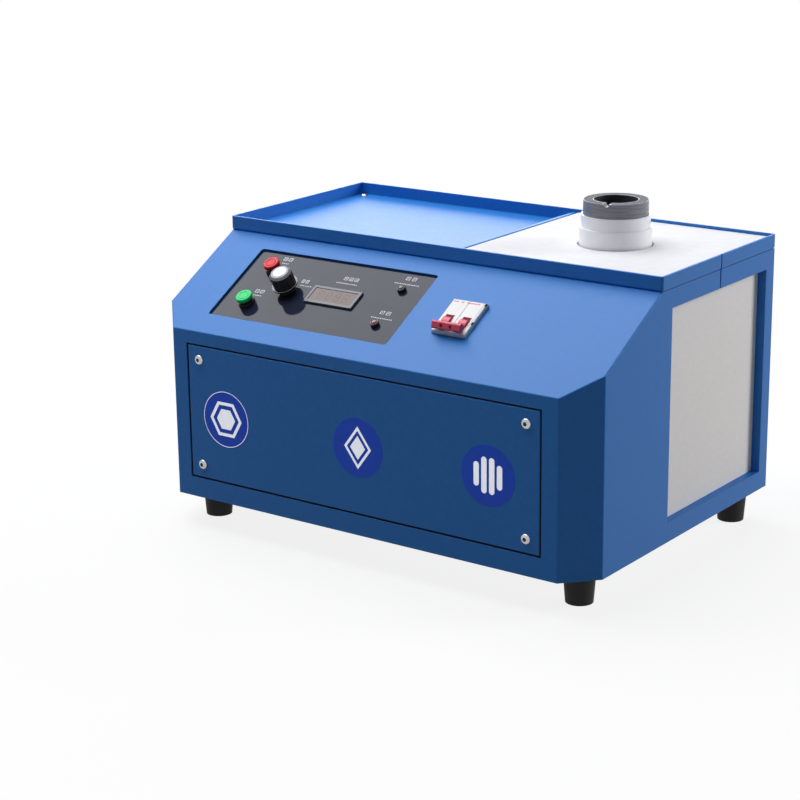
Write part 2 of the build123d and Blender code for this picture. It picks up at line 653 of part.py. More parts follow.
with BuildPart() as top_tray:
    with BuildSketch(Plane.XY.offset(SHELL_TOP)):
        with Locations((0, TRAY_MIDDLE_Y)):
            RectangleRounded(TRAY_WIDTH, TRAY_DEPTH, RIM_CORNER)
    extrude(amount=RIM_HEIGHT)
    fillet(top_tray.faces().sort_by(Axis.Z)[0].edges(), RIM_BEND)
    fillet(top_tray.faces().sort_by(Axis.Z)[-1].edges(), RIM_EDGE)
    with BuildSketch(Plane.XY.offset(TRAY_FLOOR)):
        with Locations((0, TRAY_MIDDLE_Y)):
            Rectangle(TRAY_WIDTH - 2 * TRAY_SHEET, WELL_DEPTH_Y)
    extrude(amount=RIM_HEIGHT, mode=Mode.SUBTRACT)
    with BuildSketch(Plane.XY.offset(SHELL_TOP)):
        with Locations(((LEDGE_LEFT + LEDGE_RIGHT) / 2, TRAY_MIDDLE_Y)):
            Rectangle(LEDGE_RIGHT - LEDGE_LEFT, WELL_DEPTH_Y - 2 * LEDGE)
        with Locations(*TRAY_SCREW_SPOTS):
            Circle(TRAY_SCREW_RADIUS + SCREW_CLEARANCE)
        with Locations(((LEDGE_RIGHT + TRAY_WIDTH / 2) / 2, FURNACE_Y)):
            Rectangle(TRAY_WIDTH / 2 - LEDGE_RIGHT, SLIT_WIDTH)
    extrude(amount=RIM_HEIGHT, mode=Mode.SUBTRACT)
top_tray.part.label = "top_tray"
export_step(top_tray.part, "parts/top_tray.step")

with BuildPart() as tray_screws:
    with BuildSketch(Plane.XY.offset(TRAY_FLOOR)):
        with Locations(*TRAY_SCREW_SPOTS):
            Circle(TRAY_SCREW_HEAD_RADIUS)
    extrude(amount=TRAY_SCREW_HEAD_HEIGHT)
    chamfer(tray_screws.faces().sort_by(Axis.Z)[-4:].edges(), TRAY_SCREW_HEAD_HEIGHT / 2)
    with BuildSketch(Plane.XY.offset(SHELL_TOP)):
        with Locations(*TRAY_SCREW_SPOTS):
            Circle(TRAY_SCREW_RADIUS)
    extrude(amount=TRAY_SHEET)
tray_screws.part.label = "tray_screws"
export_step(tray_screws.part, "parts/tray_screws.step")

# Folded strip that parts the tray from the furnace's board
DIVIDER_HEIGHT = RIM_TOP - DIVIDER_DROP - TRAY_FLOOR
with BuildPart() as tray_divider:
    with BuildSketch(Plane.XZ.offset(-(TRAY_MIDDLE_Y + WELL_DEPTH_Y / 2 - FIT))):
        with Locations((DIVIDER_X, TRAY_FLOOR + DIVIDER_HEIGHT / 2)):
            Rectangle(DIVIDER_WIDTH, DIVIDER_HEIGHT)
    extrude(amount=WELL_DEPTH_Y - 2 * FIT)
    divider_top = tray_divider.faces().sort_by(Axis.Z)[-1]
    fillet(divider_top.edges().filter_by(Axis.Y), DIVIDER_FOLD)
    with BuildSketch(Plane.XZ.offset(-(TRAY_MIDDLE_Y + WELL_DEPTH_Y / 2))):
        with Locations((DIVIDER_X, TRAY_FLOOR + (DIVIDER_HEIGHT - DIVIDER_SHEET) / 2)):
            Rectangle(DIVIDER_WIDTH - 2 * DIVIDER_SHEET, DIVIDER_HEIGHT - DIVIDER_SHEET)
    extrude(amount=WELL_DEPTH_Y, mode=Mode.SUBTRACT)
tray_divider.part.label = "tray_divider"
export_step(tray_divider.part, "parts/tray_divider.step")

# White insulating board on the ledge, with the furnace's hole
BOARD_LEFT = DIVIDER_X + DIVIDER_WIDTH / 2 + BOARD_SIDE_GAP
BOARD_RIGHT = WELL_HALF - BOARD_GAP
with BuildPart() as top_board:
    with BuildSketch(Plane.XY.offset(TRAY_FLOOR)):
        with Locations(((BOARD_LEFT + BOARD_RIGHT) / 2, TRAY_MIDDLE_Y)):
            Rectangle(BOARD_RIGHT - BOARD_LEFT, WELL_DEPTH_Y - 2 * BOARD_GAP)
        with Locations((FURNACE_X, FURNACE_Y)):
            Circle(HOLE_RADIUS, mode=Mode.SUBTRACT)
    extrude(amount=BOARD_TOP - TRAY_FLOOR)
top_board.part.label = "top_board"
export_step(top_board.part, "parts/top_board.step")

# Insulating board behind the side window
with BuildPart() as side_board:
    with BuildSketch(RIGHT.offset(-WINDOW_RETURN)):
        with Locations(window_place):
            Rectangle(WINDOW_WIDTH + 2 * SIDE_BOARD_LAP, WINDOW_HEIGHT + 2 * SIDE_BOARD_LAP)
    extrude(amount=-SIDE_BOARD_THICKNESS)
side_board.part.label = "side_board"
export_step(side_board.part, "parts/side_board.step")

# Insulating partition between the furnace and the electronics
with BuildPart() as partition_board:
    with BuildSketch(Plane.YZ.offset(PARTITION_X - PARTITION_THICKNESS / 2)):
        with BuildLine():
            Polyline(
                (FRONT_Y + PARTITION_FROM_FRONT, PAN_TOP),
                (FRONT_Y + PARTITION_FROM_FRONT, SHELL_TOP - SHEET - FIT),
                (INSIDE_REAR_Y - FIT, SHELL_TOP - SHEET - FIT),
                (INSIDE_REAR_Y - FIT, BODY_BOTTOM + PAN_RIM + FIT),
                (INSIDE_REAR_Y - SHEET - 2 * FIT - SHEET, BODY_BOTTOM + PAN_RIM + FIT),
                (INSIDE_REAR_Y - SHEET - 2 * FIT - SHEET, PAN_TOP),
                close=True,
            )
        make_face()
    extrude(amount=PARTITION_THICKNESS)
partition_board.part.label = "partition_board"
export_step(partition_board.part, "parts/partition_board.step")

# Stack of insulating bricks that carries the furnace
BRICK_HEIGHT = (LINING_BOTTOM - PAN_TOP - (BRICK_COUNT - 1) * BRICK_JOINT) / BRICK_COUNT
with BuildPart() as furnace_bricks:
    for level in range(BRICK_COUNT):
        with BuildSketch(Plane.XY.offset(PAN_TOP + level * (BRICK_HEIGHT + BRICK_JOINT))):
            with Locations((FURNACE_X, FURNACE_Y)):
                Rectangle(BRICK_SIZE, BRICK_SIZE)
        extrude(amount=BRICK_HEIGHT)
furnace_bricks.part.label = "furnace_bricks"
export_step(furnace_bricks.part, "parts/furnace_bricks.step")

# Refractory lining tube
with BuildPart() as furnace_lining:
    with BuildSketch(Plane.XY.offset(LINING_BOTTOM)):
        with Locations((FURNACE_X, FURNACE_Y)):
            Circle(LINING_RADIUS)
            Circle(LINING_RADIUS - LINING_WALL, mode=Mode.SUBTRACT)
    extrude(amount=BOARD_TOP + LINING_RISE - LINING_BOTTOM)
furnace_lining.part.label = "furnace_lining"
export_step(furnace_lining.part, "parts/furnace_lining.step")

# Fibre pad under the cup
with BuildPart() as fibre_pad:
    with BuildSketch(Plane.XY.offset(LINING_BOTTOM)):
        with Locations((FURNACE_X, FURNACE_Y)):
            Circle(LINING_RADIUS - LINING_WALL - FIT)
    extrude(amount=CUP_BOTTOM - LINING_BOTTOM)
fibre_pad.part.label = "fibre_pad"
export_step(fibre_pad.part, "parts/fibre_pad.step")

# White ceramic cup that holds the crucible
FURNACE_AXIS = Plane(origin=(FURNACE_X, FURNACE_Y, 0), x_dir=(1, 0, 0), z_dir=(0, -1, 0))
with BuildPart() as crucible_cup:
    with BuildSketch(Plane.XY.offset(CUP_BOTTOM)):
        with Locations((FURNACE_X, FURNACE_Y)):
            Circle(CUP_RADIUS)
    extrude(amount=BOARD_TOP + CUP_RISE - CUP_BOTTOM)
    chamfer(crucible_cup.faces().sort_by(Axis.Z)[0].edges(), CUP_CORNER)
    with BuildSketch(Plane.XY.offset(CRUCIBLE_BOTTOM)):
        with Locations((FURNACE_X, FURNACE_Y)):
            Circle(CUP_BORE_RADIUS)
    extrude(amount=CRUCIBLE_HEIGHT, mode=Mode.SUBTRACT)
crucible_cup.part.label = "crucible_cup"
export_step(crucible_cup.part, "parts/crucible_cup.step")

# Graphite crucible: turned wall, round floor, and a pouring notch across the lip
with BuildPart() as crucible:
    with BuildSketch(FURNACE_AXIS):
        with BuildLine():
            Polyline(
                (0, CRUCIBLE_BOTTOM),
                (CRUCIBLE_RADIUS, CRUCIBLE_BOTTOM),
                (CRUCIBLE_RADIUS, CRUCIBLE_TOP),
                (CRUCIBLE_BORE_RADIUS, CRUCIBLE_TOP),
                (CRUCIBLE_BORE_RADIUS, CRUCIBLE_BOTTOM + CRUCIBLE_FLOOR),
                (0, CRUCIBLE_BOTTOM + CRUCIBLE_FLOOR),
                close=True,
            )
        make_face()
    revolve(axis=Axis((FURNACE_X, FURNACE_Y, 0), (0, 0, 1)))
    chamfer(crucible.faces().sort_by(Axis.Z)[0].edges(), CRUCIBLE_CORNER)
    crucible_floor = crucible.faces().filter_by(Axis.Z).sort_by(Axis.Z)[1]
    chamfer(crucible_floor.edges(), CRUCIBLE_CORNER)
    notch_turn = math.radians(LIP_NOTCH_ANGLE)
    notch_plane = Plane(
        origin=(FURNACE_X, FURNACE_Y, CRUCIBLE_TOP),
        x_dir=(math.cos(notch_turn), math.sin(notch_turn), 0),
        z_dir=(math.sin(notch_turn), -math.cos(notch_turn), 0),
    )
    with BuildSketch(notch_plane):
        Circle(LIP_NOTCH_RADIUS)
    extrude(amount=CRUCIBLE_RADIUS + LIP_NOTCH_RADIUS, mode=Mode.SUBTRACT)
crucible.part.label = "crucible"
export_step(crucible.part, "parts/crucible.step")

# Induction coil: a helix of square copper tube
COIL_PLANE = Plane(origin=(FURNACE_X, FURNACE_Y, COIL_START_Z), x_dir=(-1, 0, 0), z_dir=(0, 0, 1))
coil_path = COIL_PLANE * Helix(pitch=COIL_PITCH, height=COIL_TURNS * COIL_PITCH, radius=COIL_RADIUS)
with BuildPart() as induction_coil:
    with BuildSketch(Plane(origin=coil_path @ 0, x_dir=(-1, 0, 0), z_dir=coil_path % 0)):
        Rectangle(COIL_TUBE, COIL_TUBE)
    sweep(path=coil_path, is_frenet=True)
turn_share = 1 / COIL_TURNS
turn_starts = [step * turn_share / COIL_POINTS for step in range(int((COIL_TURNS - 1) * COIL_POINTS))]
turn_gap = min((coil_path @ start - coil_path @ (start + turn_share)).length for start in turn_starts) - COIL_TUBE
print("least gap between the coil's turns, mm:", round(turn_gap, 2))
induction_coil.part.label = "induction_coil"
export_step(induction_coil.part, "parts/induction_coil.step")

# Straight copper leads, brazed to the coil's ends, that run back to the water spigots
with BuildPart() as coil_leads:
    with BuildSketch(REAR.offset(REAR_Y - LEAD_END_Y)):
        with Locations(*SPIGOT_SPOTS):
            Rectangle(COIL_TUBE, COIL_TUBE)
    extrude(amount=LEAD_END_Y - FURNACE_Y - BRAZE_GAP)
coil_leads.part.label = "coil_leads"
export_step(coil_leads.part, "parts/coil_leads.step")

# Resonant capacitor, held by two copper plates between the coil's leads
CLAMP_SPAN = 2 * COIL_RADIUS - COIL_TUBE
CAPACITOR_BOTTOM = COIL_START_Z - COIL_TUBE / 2
CAPACITOR_MIDDLE_Y = FURNACE_Y + COIL_RADIUS + COIL_TUBE / 2 + CAPACITOR_GAP + CAPACITOR_DEPTH / 2
with BuildPart() as clamp_plates:
    with BuildSketch(Plane.XY.offset(CAPACITOR_BOTTOM)):
        for side in (-1, 1):
            with Locations((FURNACE_X + side * (CLAMP_SPAN - CLAMP_PLATE) / 2, CAPACITOR_MIDDLE_Y)):
                Rectangle(CLAMP_PLATE, CAPACITOR_DEPTH)
    extrude(amount=CAPACITOR_HEIGHT)
clamp_plates.part.label = "clamp_plates"
export_step(clamp_plates.part, "parts/clamp_plates.step")

with BuildPart() as resonant_capacitor:
    with BuildSketch(Plane.XY.offset(CAPACITOR_BOTTOM)):
        with Locations((FURNACE_X, CAPACITOR_MIDDLE_Y)):
            Rectangle(CLAMP_SPAN - 2 * CLAMP_PLATE, CAPACITOR_DEPTH)
    extrude(amount=CAPACITOR_HEIGHT)
    fillet(resonant_capacitor.edges().filter_by(Axis.X), CLAMP_PLATE)
resonant_capacitor.part.label = "resonant_capacitor"
export_step(resonant_capacitor.part, "parts/resonant_capacitor.step")

# Brass water spigots: hexagon outside, thread and nut inside, a through bore into the coil's lead
for spigot, (spigot_x, spigot_up) in zip(("water_inlet", "water_outlet"), SPIGOT_SPOTS):
    with BuildPart() as water_spigot:
        with BuildSketch(REAR):
            with Locations((spigot_x, spigot_up)):
                RegularPolygon(SPIGOT_FLANGE_RADIUS, 6)
        extrude(amount=-SPIGOT_FLANGE)
        with BuildSketch(REAR.offset(-SPIGOT_FLANGE)):
            with Locations((spigot_x, spigot_up)):
                Circle(SPIGOT_RADIUS)
        extrude(amount=-SPIGOT_LENGTH)
        chamfer(water_spigot.faces().sort_by(Axis.Y)[-1].edges(), (SPIGOT_RADIUS - SPIGOT_BORE_RADIUS) / 3)
        with BuildSketch(REAR):
            with Locations((spigot_x, spigot_up)):
                Circle(SPIGOT_THREAD_RADIUS)
        extrude(amount=SHEET + SPIGOT_INSIDE)
        with BuildSketch(REAR.offset(SHEET)):
            with Locations((spigot_x, spigot_up)):
                RegularPolygon(SPIGOT_FLANGE_RADIUS, 6)
        extrude(amount=SPIGOT_NUT_THICKNESS)
        with BuildSketch(REAR.offset(-REAR_REACH)):
            with Locations((spigot_x, spigot_up)):
                Circle(SPIGOT_BORE_RADIUS)
        extrude(amount=REAR_REACH + SHEET + SPIGOT_INSIDE, mode=Mode.SUBTRACT)
    water_spigot.part.label = spigot
    export_step(water_spigot.part, f"parts/{spigot}.step")

# Cable gland for the supply lead
with BuildPart() as cable_gland:
    with BuildSketch(REAR):
        with Locations((GLAND_X, GLAND_UP)):
            RegularPolygon(GLAND_HEX_RADIUS, 6)
    extrude(amount=-GLAND_HEX)
    with BuildSketch(REAR.offset(-GLAND_HEX)):
        with Locations((GLAND_X, GLAND_UP)):
            Circle(GLAND_DOME_RADIUS)
    extrude(amount=-GLAND_DOME)
    chamfer(cable_gland.faces().sort_by(Axis.Y)[-1].edges(), (GLAND_DOME_RADIUS - GLAND_BORE_RADIUS) * 2 / 3)
    with BuildSketch(REAR):
        with Locations((GLAND_X, GLAND_UP)):
            Circle(GLAND_THREAD_RADIUS)
    extrude(amount=SHEET + GLAND_NUT_GAP + GLAND_NUT_THICKNESS)
    with BuildSketch(REAR.offset(SHEET + GLAND_NUT_GAP)):
        with Locations((GLAND_X, GLAND_UP)):
            RegularPolygon(GLAND_HEX_RADIUS, 6)
    extrude(amount=GLAND_NUT_THICKNESS)
    with BuildSketch(REAR.offset(-GLAND_HEX - GLAND_DOME)):
        with Locations((GLAND_X, GLAND_UP)):
            Circle(GLAND_BORE_RADIUS)
    extrude(amount=GLAND_HEX + GLAND_DOME + SHEET + GLAND_NUT_GAP + GLAND_NUT_THICKNESS, mode=Mode.SUBTRACT)
cable_gland.part.label = "cable_gland"
export_step(cable_gland.part, "parts/cable_gland.step")

# Earth stud with a nut on each side of the panel
with BuildPart() as earth_stud:
    with BuildSketch(REAR.offset(-STUD_REACH)):
        with Locations((STUD_X, STUD_UP)):
            Circle(STUD_RADIUS)
    extrude(amount=2 * STUD_REACH + SHEET)
    with BuildSketch(REAR):
        with Locations((STUD_X, STUD_UP)):
            RegularPolygon(STUD_NUT_RADIUS, 6)
    extrude(amount=-STUD_NUT_THICKNESS)
    with BuildSketch(REAR.offset(SHEET)):
        with Locations((STUD_X, STUD_UP)):
            RegularPolygon(STUD_NUT_RADIUS, 6)
    extrude(amount=STUD_NUT_THICKNESS)
earth_stud.part.label = "earth_stud"
export_step(earth_stud.part, "parts/earth_stud.step")

# Fan: square frame with a stator on struts at its inner side
FAN_INNER_SIDE = SHEET + FAN_DEPTH
with BuildPart() as fan_frame:
    with BuildSketch(REAR.offset(SHEET)):
        with Locations((FAN_X, FAN_UP)):
            RectangleRounded(FAN_SIZE, FAN_SIZE, FAN_CORNER)
            Circle(FAN_BORE_RADIUS, mode=Mode.SUBTRACT)
            with GridLocations(FAN_HOLE_PITCH, FAN_HOLE_PITCH, 2, 2):
                Circle(FAN_HOLE_RADIUS, mode=Mode.SUBTRACT)
    extrude(amount=FAN_DEPTH)
    with BuildSketch(REAR.offset(FAN_INNER_SIDE - FAN_STATOR_THICKNESS)):
        with Locations((FAN_X, FAN_UP)):
            Circle(FAN_HUB_RADIUS)
            with PolarLocations(0, FAN_STRUTS, start_angle=45):
                Rectangle(2 * FAN_BORE_RADIUS + FAN_STRUT_WIDTH, FAN_STRUT_WIDTH)
    extrude(amount=FAN_STATOR_THICKNESS)
    with BuildSketch(REAR.offset(FAN_INNER_SIDE - FAN_STATOR_THICKNESS)):
        with Locations((FAN_X, FAN_UP)):
            Circle(FAN_SHAFT_RADIUS)
    extrude(amount=-FAN_STATOR_THICKNESS)
fan_frame.part.label = "fan_frame"
export_step(fan_frame.part, "parts/fan_frame.step")

# Fan rotor: a hub cup with twisted blades, running on the stator's pin
ROTOR_INNER_SIDE = FAN_INNER_SIDE - FAN_STATOR_THICKNESS - FAN_HUB_GAP
ROTOR_DEPTH = FAN_DEPTH - FAN_STATOR_THICKNESS - 3 * FAN_HUB_GAP
ROTOR_MIDDLE = ROTOR_INNER_SIDE - ROTOR_DEPTH / 2
ROTOR_CENTRE = (FAN_X, REAR_Y - ROTOR_MIDDLE, BODY_BOTTOM + FAN_UP)
with BuildPart() as fan_rotor:
    with BuildSketch(REAR.offset(ROTOR_INNER_SIDE)):
        with Locations((FAN_X, FAN_UP)):
            Circle(FAN_HUB_RADIUS)
    extrude(amount=-ROTOR_DEPTH)
    for blade in range(FAN_BLADES):
        turn = math.radians(360.0 * blade / FAN_BLADES)
        outward = Vector(math.cos(turn), 0, math.sin(turn))
        blade_planes = [
            Plane(origin=Vector(*ROTOR_CENTRE) + outward * reach, x_dir=(0, 1, 0), z_dir=outward)
            for reach in (FAN_HUB_RADIUS - 2 * FAN_BLADE_THICKNESS, FAN_BLADE_RADIUS)
        ]
        for blade_plane, pitch in zip(blade_planes, (FAN_ROOT_PITCH, FAN_TIP_PITCH)):
            with BuildSketch(blade_plane):
                Rectangle(FAN_BLADE_CHORD, FAN_BLADE_THICKNESS, rotation=90 - pitch)
        loft()
    with BuildSketch(REAR.offset(ROTOR_INNER_SIDE)):
        with Locations((FAN_X, FAN_UP)):
            Circle(FAN_SHAFT_RADIUS + FAN_SHAFT_SLACK)
    extrude(amount=-FAN_STATOR_THICKNESS, mode=Mode.SUBTRACT)
fan_rotor.part.label = "fan_rotor"
export_step(fan_rotor.part, "parts/fan_rotor.step")

# Fan guard: flat rings on diagonal spokes that end in eyes under the fan's screws
with BuildPart() as fan_guard:
    with BuildSketch(REAR):
        with Locations((FAN_X, FAN_UP)):
            for ring in reversed(range(GUARD_RINGS)):
                Circle(GUARD_FIRST_RADIUS + ring * GUARD_STEP + GUARD_WIRE / 2)
                Circle(GUARD_FIRST_RADIUS + ring * GUARD_STEP - GUARD_WIRE / 2, mode=Mode.SUBTRACT)
            for diagonal in (-45, 45):
                Rectangle(FAN_HOLE_PITCH * math.sqrt(2), GUARD_WIRE, rotation=diagonal)
            with GridLocations(FAN_HOLE_PITCH, FAN_HOLE_PITCH, 2, 2):
                Circle(GUARD_EYE_RADIUS)
                Circle(FAN_HOLE_RADIUS, mode=Mode.SUBTRACT)
    extrude(amount=-GUARD_THICKNESS)
fan_guard.part.label = "fan_guard"
export_step(fan_guard.part, "parts/fan_guard.step")

with BuildPart() as fan_screws:
    with BuildSketch(REAR.offset(-GUARD_THICKNESS)):
        with Locations((FAN_X, FAN_UP)):
            with GridLocations(FAN_HOLE_PITCH, FAN_HOLE_PITCH, 2, 2):
                Circle(FAN_SCREW_HEAD_RADIUS)
    extrude(amount=-FAN_SCREW_HEAD_HEIGHT)
    chamfer(fan_screws.faces().sort_by(Axis.Y)[-4:].edges(), FAN_SCREW_HEAD_HEIGHT / 3)
    with BuildSketch(REAR.offset(-GUARD_THICKNESS)):
        with Locations((FAN_X, FAN_UP)):
            with GridLocations(FAN_HOLE_PITCH, FAN_HOLE_PITCH, 2, 2):
                Circle(FAN_HOLE_RADIUS - SCREW_CLEARANCE)
    extrude(amount=GUARD_THICKNESS + SHEET + FAN_DEPTH)
fan_screws.part.label = "fan_screws"
export_step(fan_screws.part, "parts/fan_screws.step")

# Control plate, pressed against the cut-out from inside
BUTTON_SPOTS = {"start": (BUTTON_X, ROW_LOW), "stop": (BUTTON_X, ROW_HIGH)}
LAMP_SPOTS = {"heat": (LAMP_X, ROW_LOW), "water": (LAMP_X, ROW_HIGH)}
with BuildPart() as control_plate:
    with BuildSketch(PLATE):
        with Locations((PLATE_X, PLATE_ALONG)):
            RectangleRounded(PLATE_WIDTH + 2 * PLATE_LAP, PLATE_LENGTH + 2 * PLATE_LAP, PLATE_CORNER)
        with Locations((METER_X, ROW_MIDDLE)):
            Rectangle(METER_BODY_WIDTH + 2 * FIT, METER_BODY_LENGTH + 2 * FIT, mode=Mode.SUBTRACT)
        with Locations((KNOB_X, ROW_MIDDLE)):
            Circle(POT_BUSH_RADIUS + SCREW_CLEARANCE, mode=Mode.SUBTRACT)
        with Locations(*BUTTON_SPOTS.values()):
            Circle(SWITCH_THREAD_RADIUS + SCREW_CLEARANCE, mode=Mode.SUBTRACT)
        with Locations(*LAMP_SPOTS.values()):
            Circle(LAMP_BODY_RADIUS + SCREW_CLEARANCE, mode=Mode.SUBTRACT)
    extrude(amount=-PLATE_THICKNESS)
control_plate.part.label = "control_plate"
export_step(control_plate.part, "parts/control_plate.step")

# Power meter: raised frame, body behind the plate, and a lens let into the frame
METER_LENS_WIDTH = METER_WIDTH - 2 * METER_FRAME
METER_LENS_LENGTH = METER_LENGTH - 2 * METER_FRAME
with BuildPart() as power_meter:
    with BuildSketch(PLATE):
        with Locations((METER_X, ROW_MIDDLE)):
            Rectangle(METER_WIDTH, METER_LENGTH)
    extrude(amount=METER_RISE)
    meter_front = power_meter.faces().sort_by(OUT_OF_SLOPE)[-1]
    chamfer(meter_front.edges(), METER_CORNER)
    with BuildSketch(PLATE):
        with Locations((METER_X, ROW_MIDDLE)):
            Rectangle(METER_BODY_WIDTH, METER_BODY_LENGTH)
    extrude(amount=-METER_BODY_DEPTH)
    with BuildSketch(PLATE.offset(METER_RISE)):
        with Locations((METER_X, ROW_MIDDLE)):
            Rectangle(METER_LENS_WIDTH + 2 * METER_LENS_SLACK, METER_LENS_LENGTH + 2 * METER_LENS_SLACK)
    extrude(amount=-METER_LENS_DROP - METER_LENS_THICKNESS, mode=Mode.SUBTRACT)
power_meter.part.label = "power_meter"
export_step(power_meter.part, "parts/power_meter.step")

with BuildPart() as meter_lens:
    with BuildSketch(PLATE.offset(METER_RISE - METER_LENS_DROP)):
        with Locations((METER_X, ROW_MIDDLE)):
            Rectangle(METER_LENS_WIDTH, METER_LENS_LENGTH)
    extrude(amount=-METER_LENS_THICKNESS)
meter_lens.part.label = "meter_lens"
export_step(meter_lens.part, "parts/meter_lens.step")


def axis_plane(x, along):
    """Plane through a control's axis: local x to the right, local y out of the control plate."""
    foot = PLATE.from_local_coords((x, along, 0))
    return Plane(origin=foot, x_dir=(1, 0, 0), z_dir=Vector(1, 0, 0).cross(PLATE.z_dir))


# Power control: potentiometer behind the plate, shaft, fluted knob with a ring and a cap
KNOB_PLANE = axis_plane(KNOB_X, ROW_MIDDLE)
KNOB_AXIS = Axis(KNOB_PLANE.origin, PLATE.z_dir)
KNOB_BODY_BOTTOM = KNOB_NECK_TOP + KNOB_RING_THICKNESS
SHAFT_BORE_RADIUS = SHAFT_RADIUS + SHAFT_SLACK
with BuildPart() as power_knob:
    with BuildSketch(KNOB_PLANE):
        with BuildLine():
            Polyline(
                (KNOB_RECESS_RADIUS, KNOB_FLOAT),
                (KNOB_NECK_RADIUS, KNOB_FLOAT),
                (KNOB_NECK_RADIUS, KNOB_BODY_BOTTOM),
                (KNOB_RADIUS, KNOB_BODY_BOTTOM),
                (KNOB_RADIUS, KNOB_HEIGHT),
                (0, KNOB_HEIGHT),
                (0, SHAFT_TOP),
                (SHAFT_BORE_RADIUS, SHAFT_TOP),
                (SHAFT_BORE_RADIUS, KNOB_RECESS_TOP),
                (KNOB_RECESS_RADIUS, KNOB_RECESS_TOP),
                close=True,
            )
        make_face()
    revolve(axis=KNOB_AXIS)
    with BuildSketch(PLATE.offset(KNOB_BODY_BOTTOM)):
        with Locations((KNOB_X, ROW_MIDDLE)):
            with PolarLocations(KNOB_RADIUS + KNOB_FLUTE_RADIUS - KNOB_FLUTE_BITE, KNOB_FLUTES):
                Circle(KNOB_FLUTE_RADIUS)
    extrude(amount=KNOB_HEIGHT - KNOB_BODY_BOTTOM, mode=Mode.SUBTRACT)
power_knob.part.label = "power_knob"
export_step(power_knob.part, "parts/power_knob.step")

with BuildPart() as knob_ring:
    with BuildSketch(PLATE.offset(KNOB_NECK_TOP)):
        with Locations((KNOB_X, ROW_MIDDLE)):
            Circle(KNOB_RING_RADIUS)
            Circle(KNOB_NECK_RADIUS + SHAFT_SLACK, mode=Mode.SUBTRACT)
    extrude(amount=KNOB_RING_THICKNESS)
knob_ring.part.label = "knob_ring"
export_step(knob_ring.part, "parts/knob_ring.step")

with BuildPart() as knob_cap:
    with BuildSketch(PLATE.offset(KNOB_HEIGHT)):
        with Locations((KNOB_X, ROW_MIDDLE)):
            Circle(KNOB_CAP_RADIUS)
    extrude(amount=KNOB_CAP_THICKNESS)
    chamfer(knob_cap.faces().sort_by(OUT_OF_SLOPE)[-1].edges(), KNOB_CAP_BEVEL)
knob_cap.part.label = "knob_cap"
export_step(knob_cap.part, "parts/knob_cap.step")

with BuildPart() as pot_shaft:
    with BuildSketch(PLATE.offset(SHAFT_TOP)):
        with Locations((KNOB_X, ROW_MIDDLE)):
            Circle(SHAFT_RADIUS)
    extrude(amount=-SHAFT_TOP - PLATE_THICKNESS - POT_SHAFT_DEPTH + FIT)
pot_shaft.part.label = "pot_shaft"
export_step(pot_shaft.part, "parts/pot_shaft.step")

POT_BUSH_TOP = KNOB_RECESS_TOP - 2 * FIT
with BuildPart() as potentiometer:
    with BuildSketch(PLATE.offset(-PLATE_THICKNESS)):
        with Locations((KNOB_X, ROW_MIDDLE)):
            Circle(POT_BODY_RADIUS)
    extrude(amount=-POT_BODY_DEPTH)
    with BuildSketch(PLATE.offset(-PLATE_THICKNESS)):
        with Locations((KNOB_X, ROW_MIDDLE)):
            Circle(POT_BUSH_RADIUS)
    extrude(amount=PLATE_THICKNESS + POT_BUSH_TOP)
    with BuildSketch(PLATE):
        with Locations((KNOB_X, ROW_MIDDLE)):
            RegularPolygon(POT_NUT_RADIUS, 6)
    extrude(amount=POT_NUT_THICKNESS)
    with BuildSketch(PLATE.offset(POT_BUSH_TOP)):
        with Locations((KNOB_X, ROW_MIDDLE)):
            Circle(SHAFT_BORE_RADIUS)
    extrude(amount=-POT_BUSH_TOP - PLATE_THICKNESS - POT_SHAFT_DEPTH, mode=Mode.SUBTRACT)
potentiometer.part.label = "potentiometer"
export_step(potentiometer.part, "parts/potentiometer.step")

# Push buttons: coloured head on a plunger that slides in the collar of its switch
COLLAR_HEIGHT = BUTTON_TOP - BUTTON_HEAD - BUTTON_TRAVEL - FIT
PLUNGER_BORE_DEPTH = PLUNGER_DEPTH + BUTTON_TRAVEL + FIT
for button, spot in BUTTON_SPOTS.items():
    with BuildPart() as button_head:
        with BuildSketch(PLATE.offset(BUTTON_TOP - BUTTON_HEAD)):
            with Locations(spot):
                Circle(BUTTON_RADIUS)
        extrude(amount=BUTTON_HEAD)
        chamfer(button_head.faces().sort_by(OUT_OF_SLOPE)[-1].edges(), BUTTON_EDGE)
    button_head.part.label = f"{button}_button"
    export_step(button_head.part, f"parts/{button}_button.step")

    with BuildPart() as plunger:
        with BuildSketch(PLATE.offset(BUTTON_TOP - BUTTON_HEAD)):
            with Locations(spot):
                Circle(PLUNGER_RADIUS)
        extrude(amount=-PLUNGER_DEPTH - BUTTON_TOP + BUTTON_HEAD)
    plunger.part.label = f"{button}_plunger"
    export_step(plunger.part, f"parts/{button}_plunger.step")

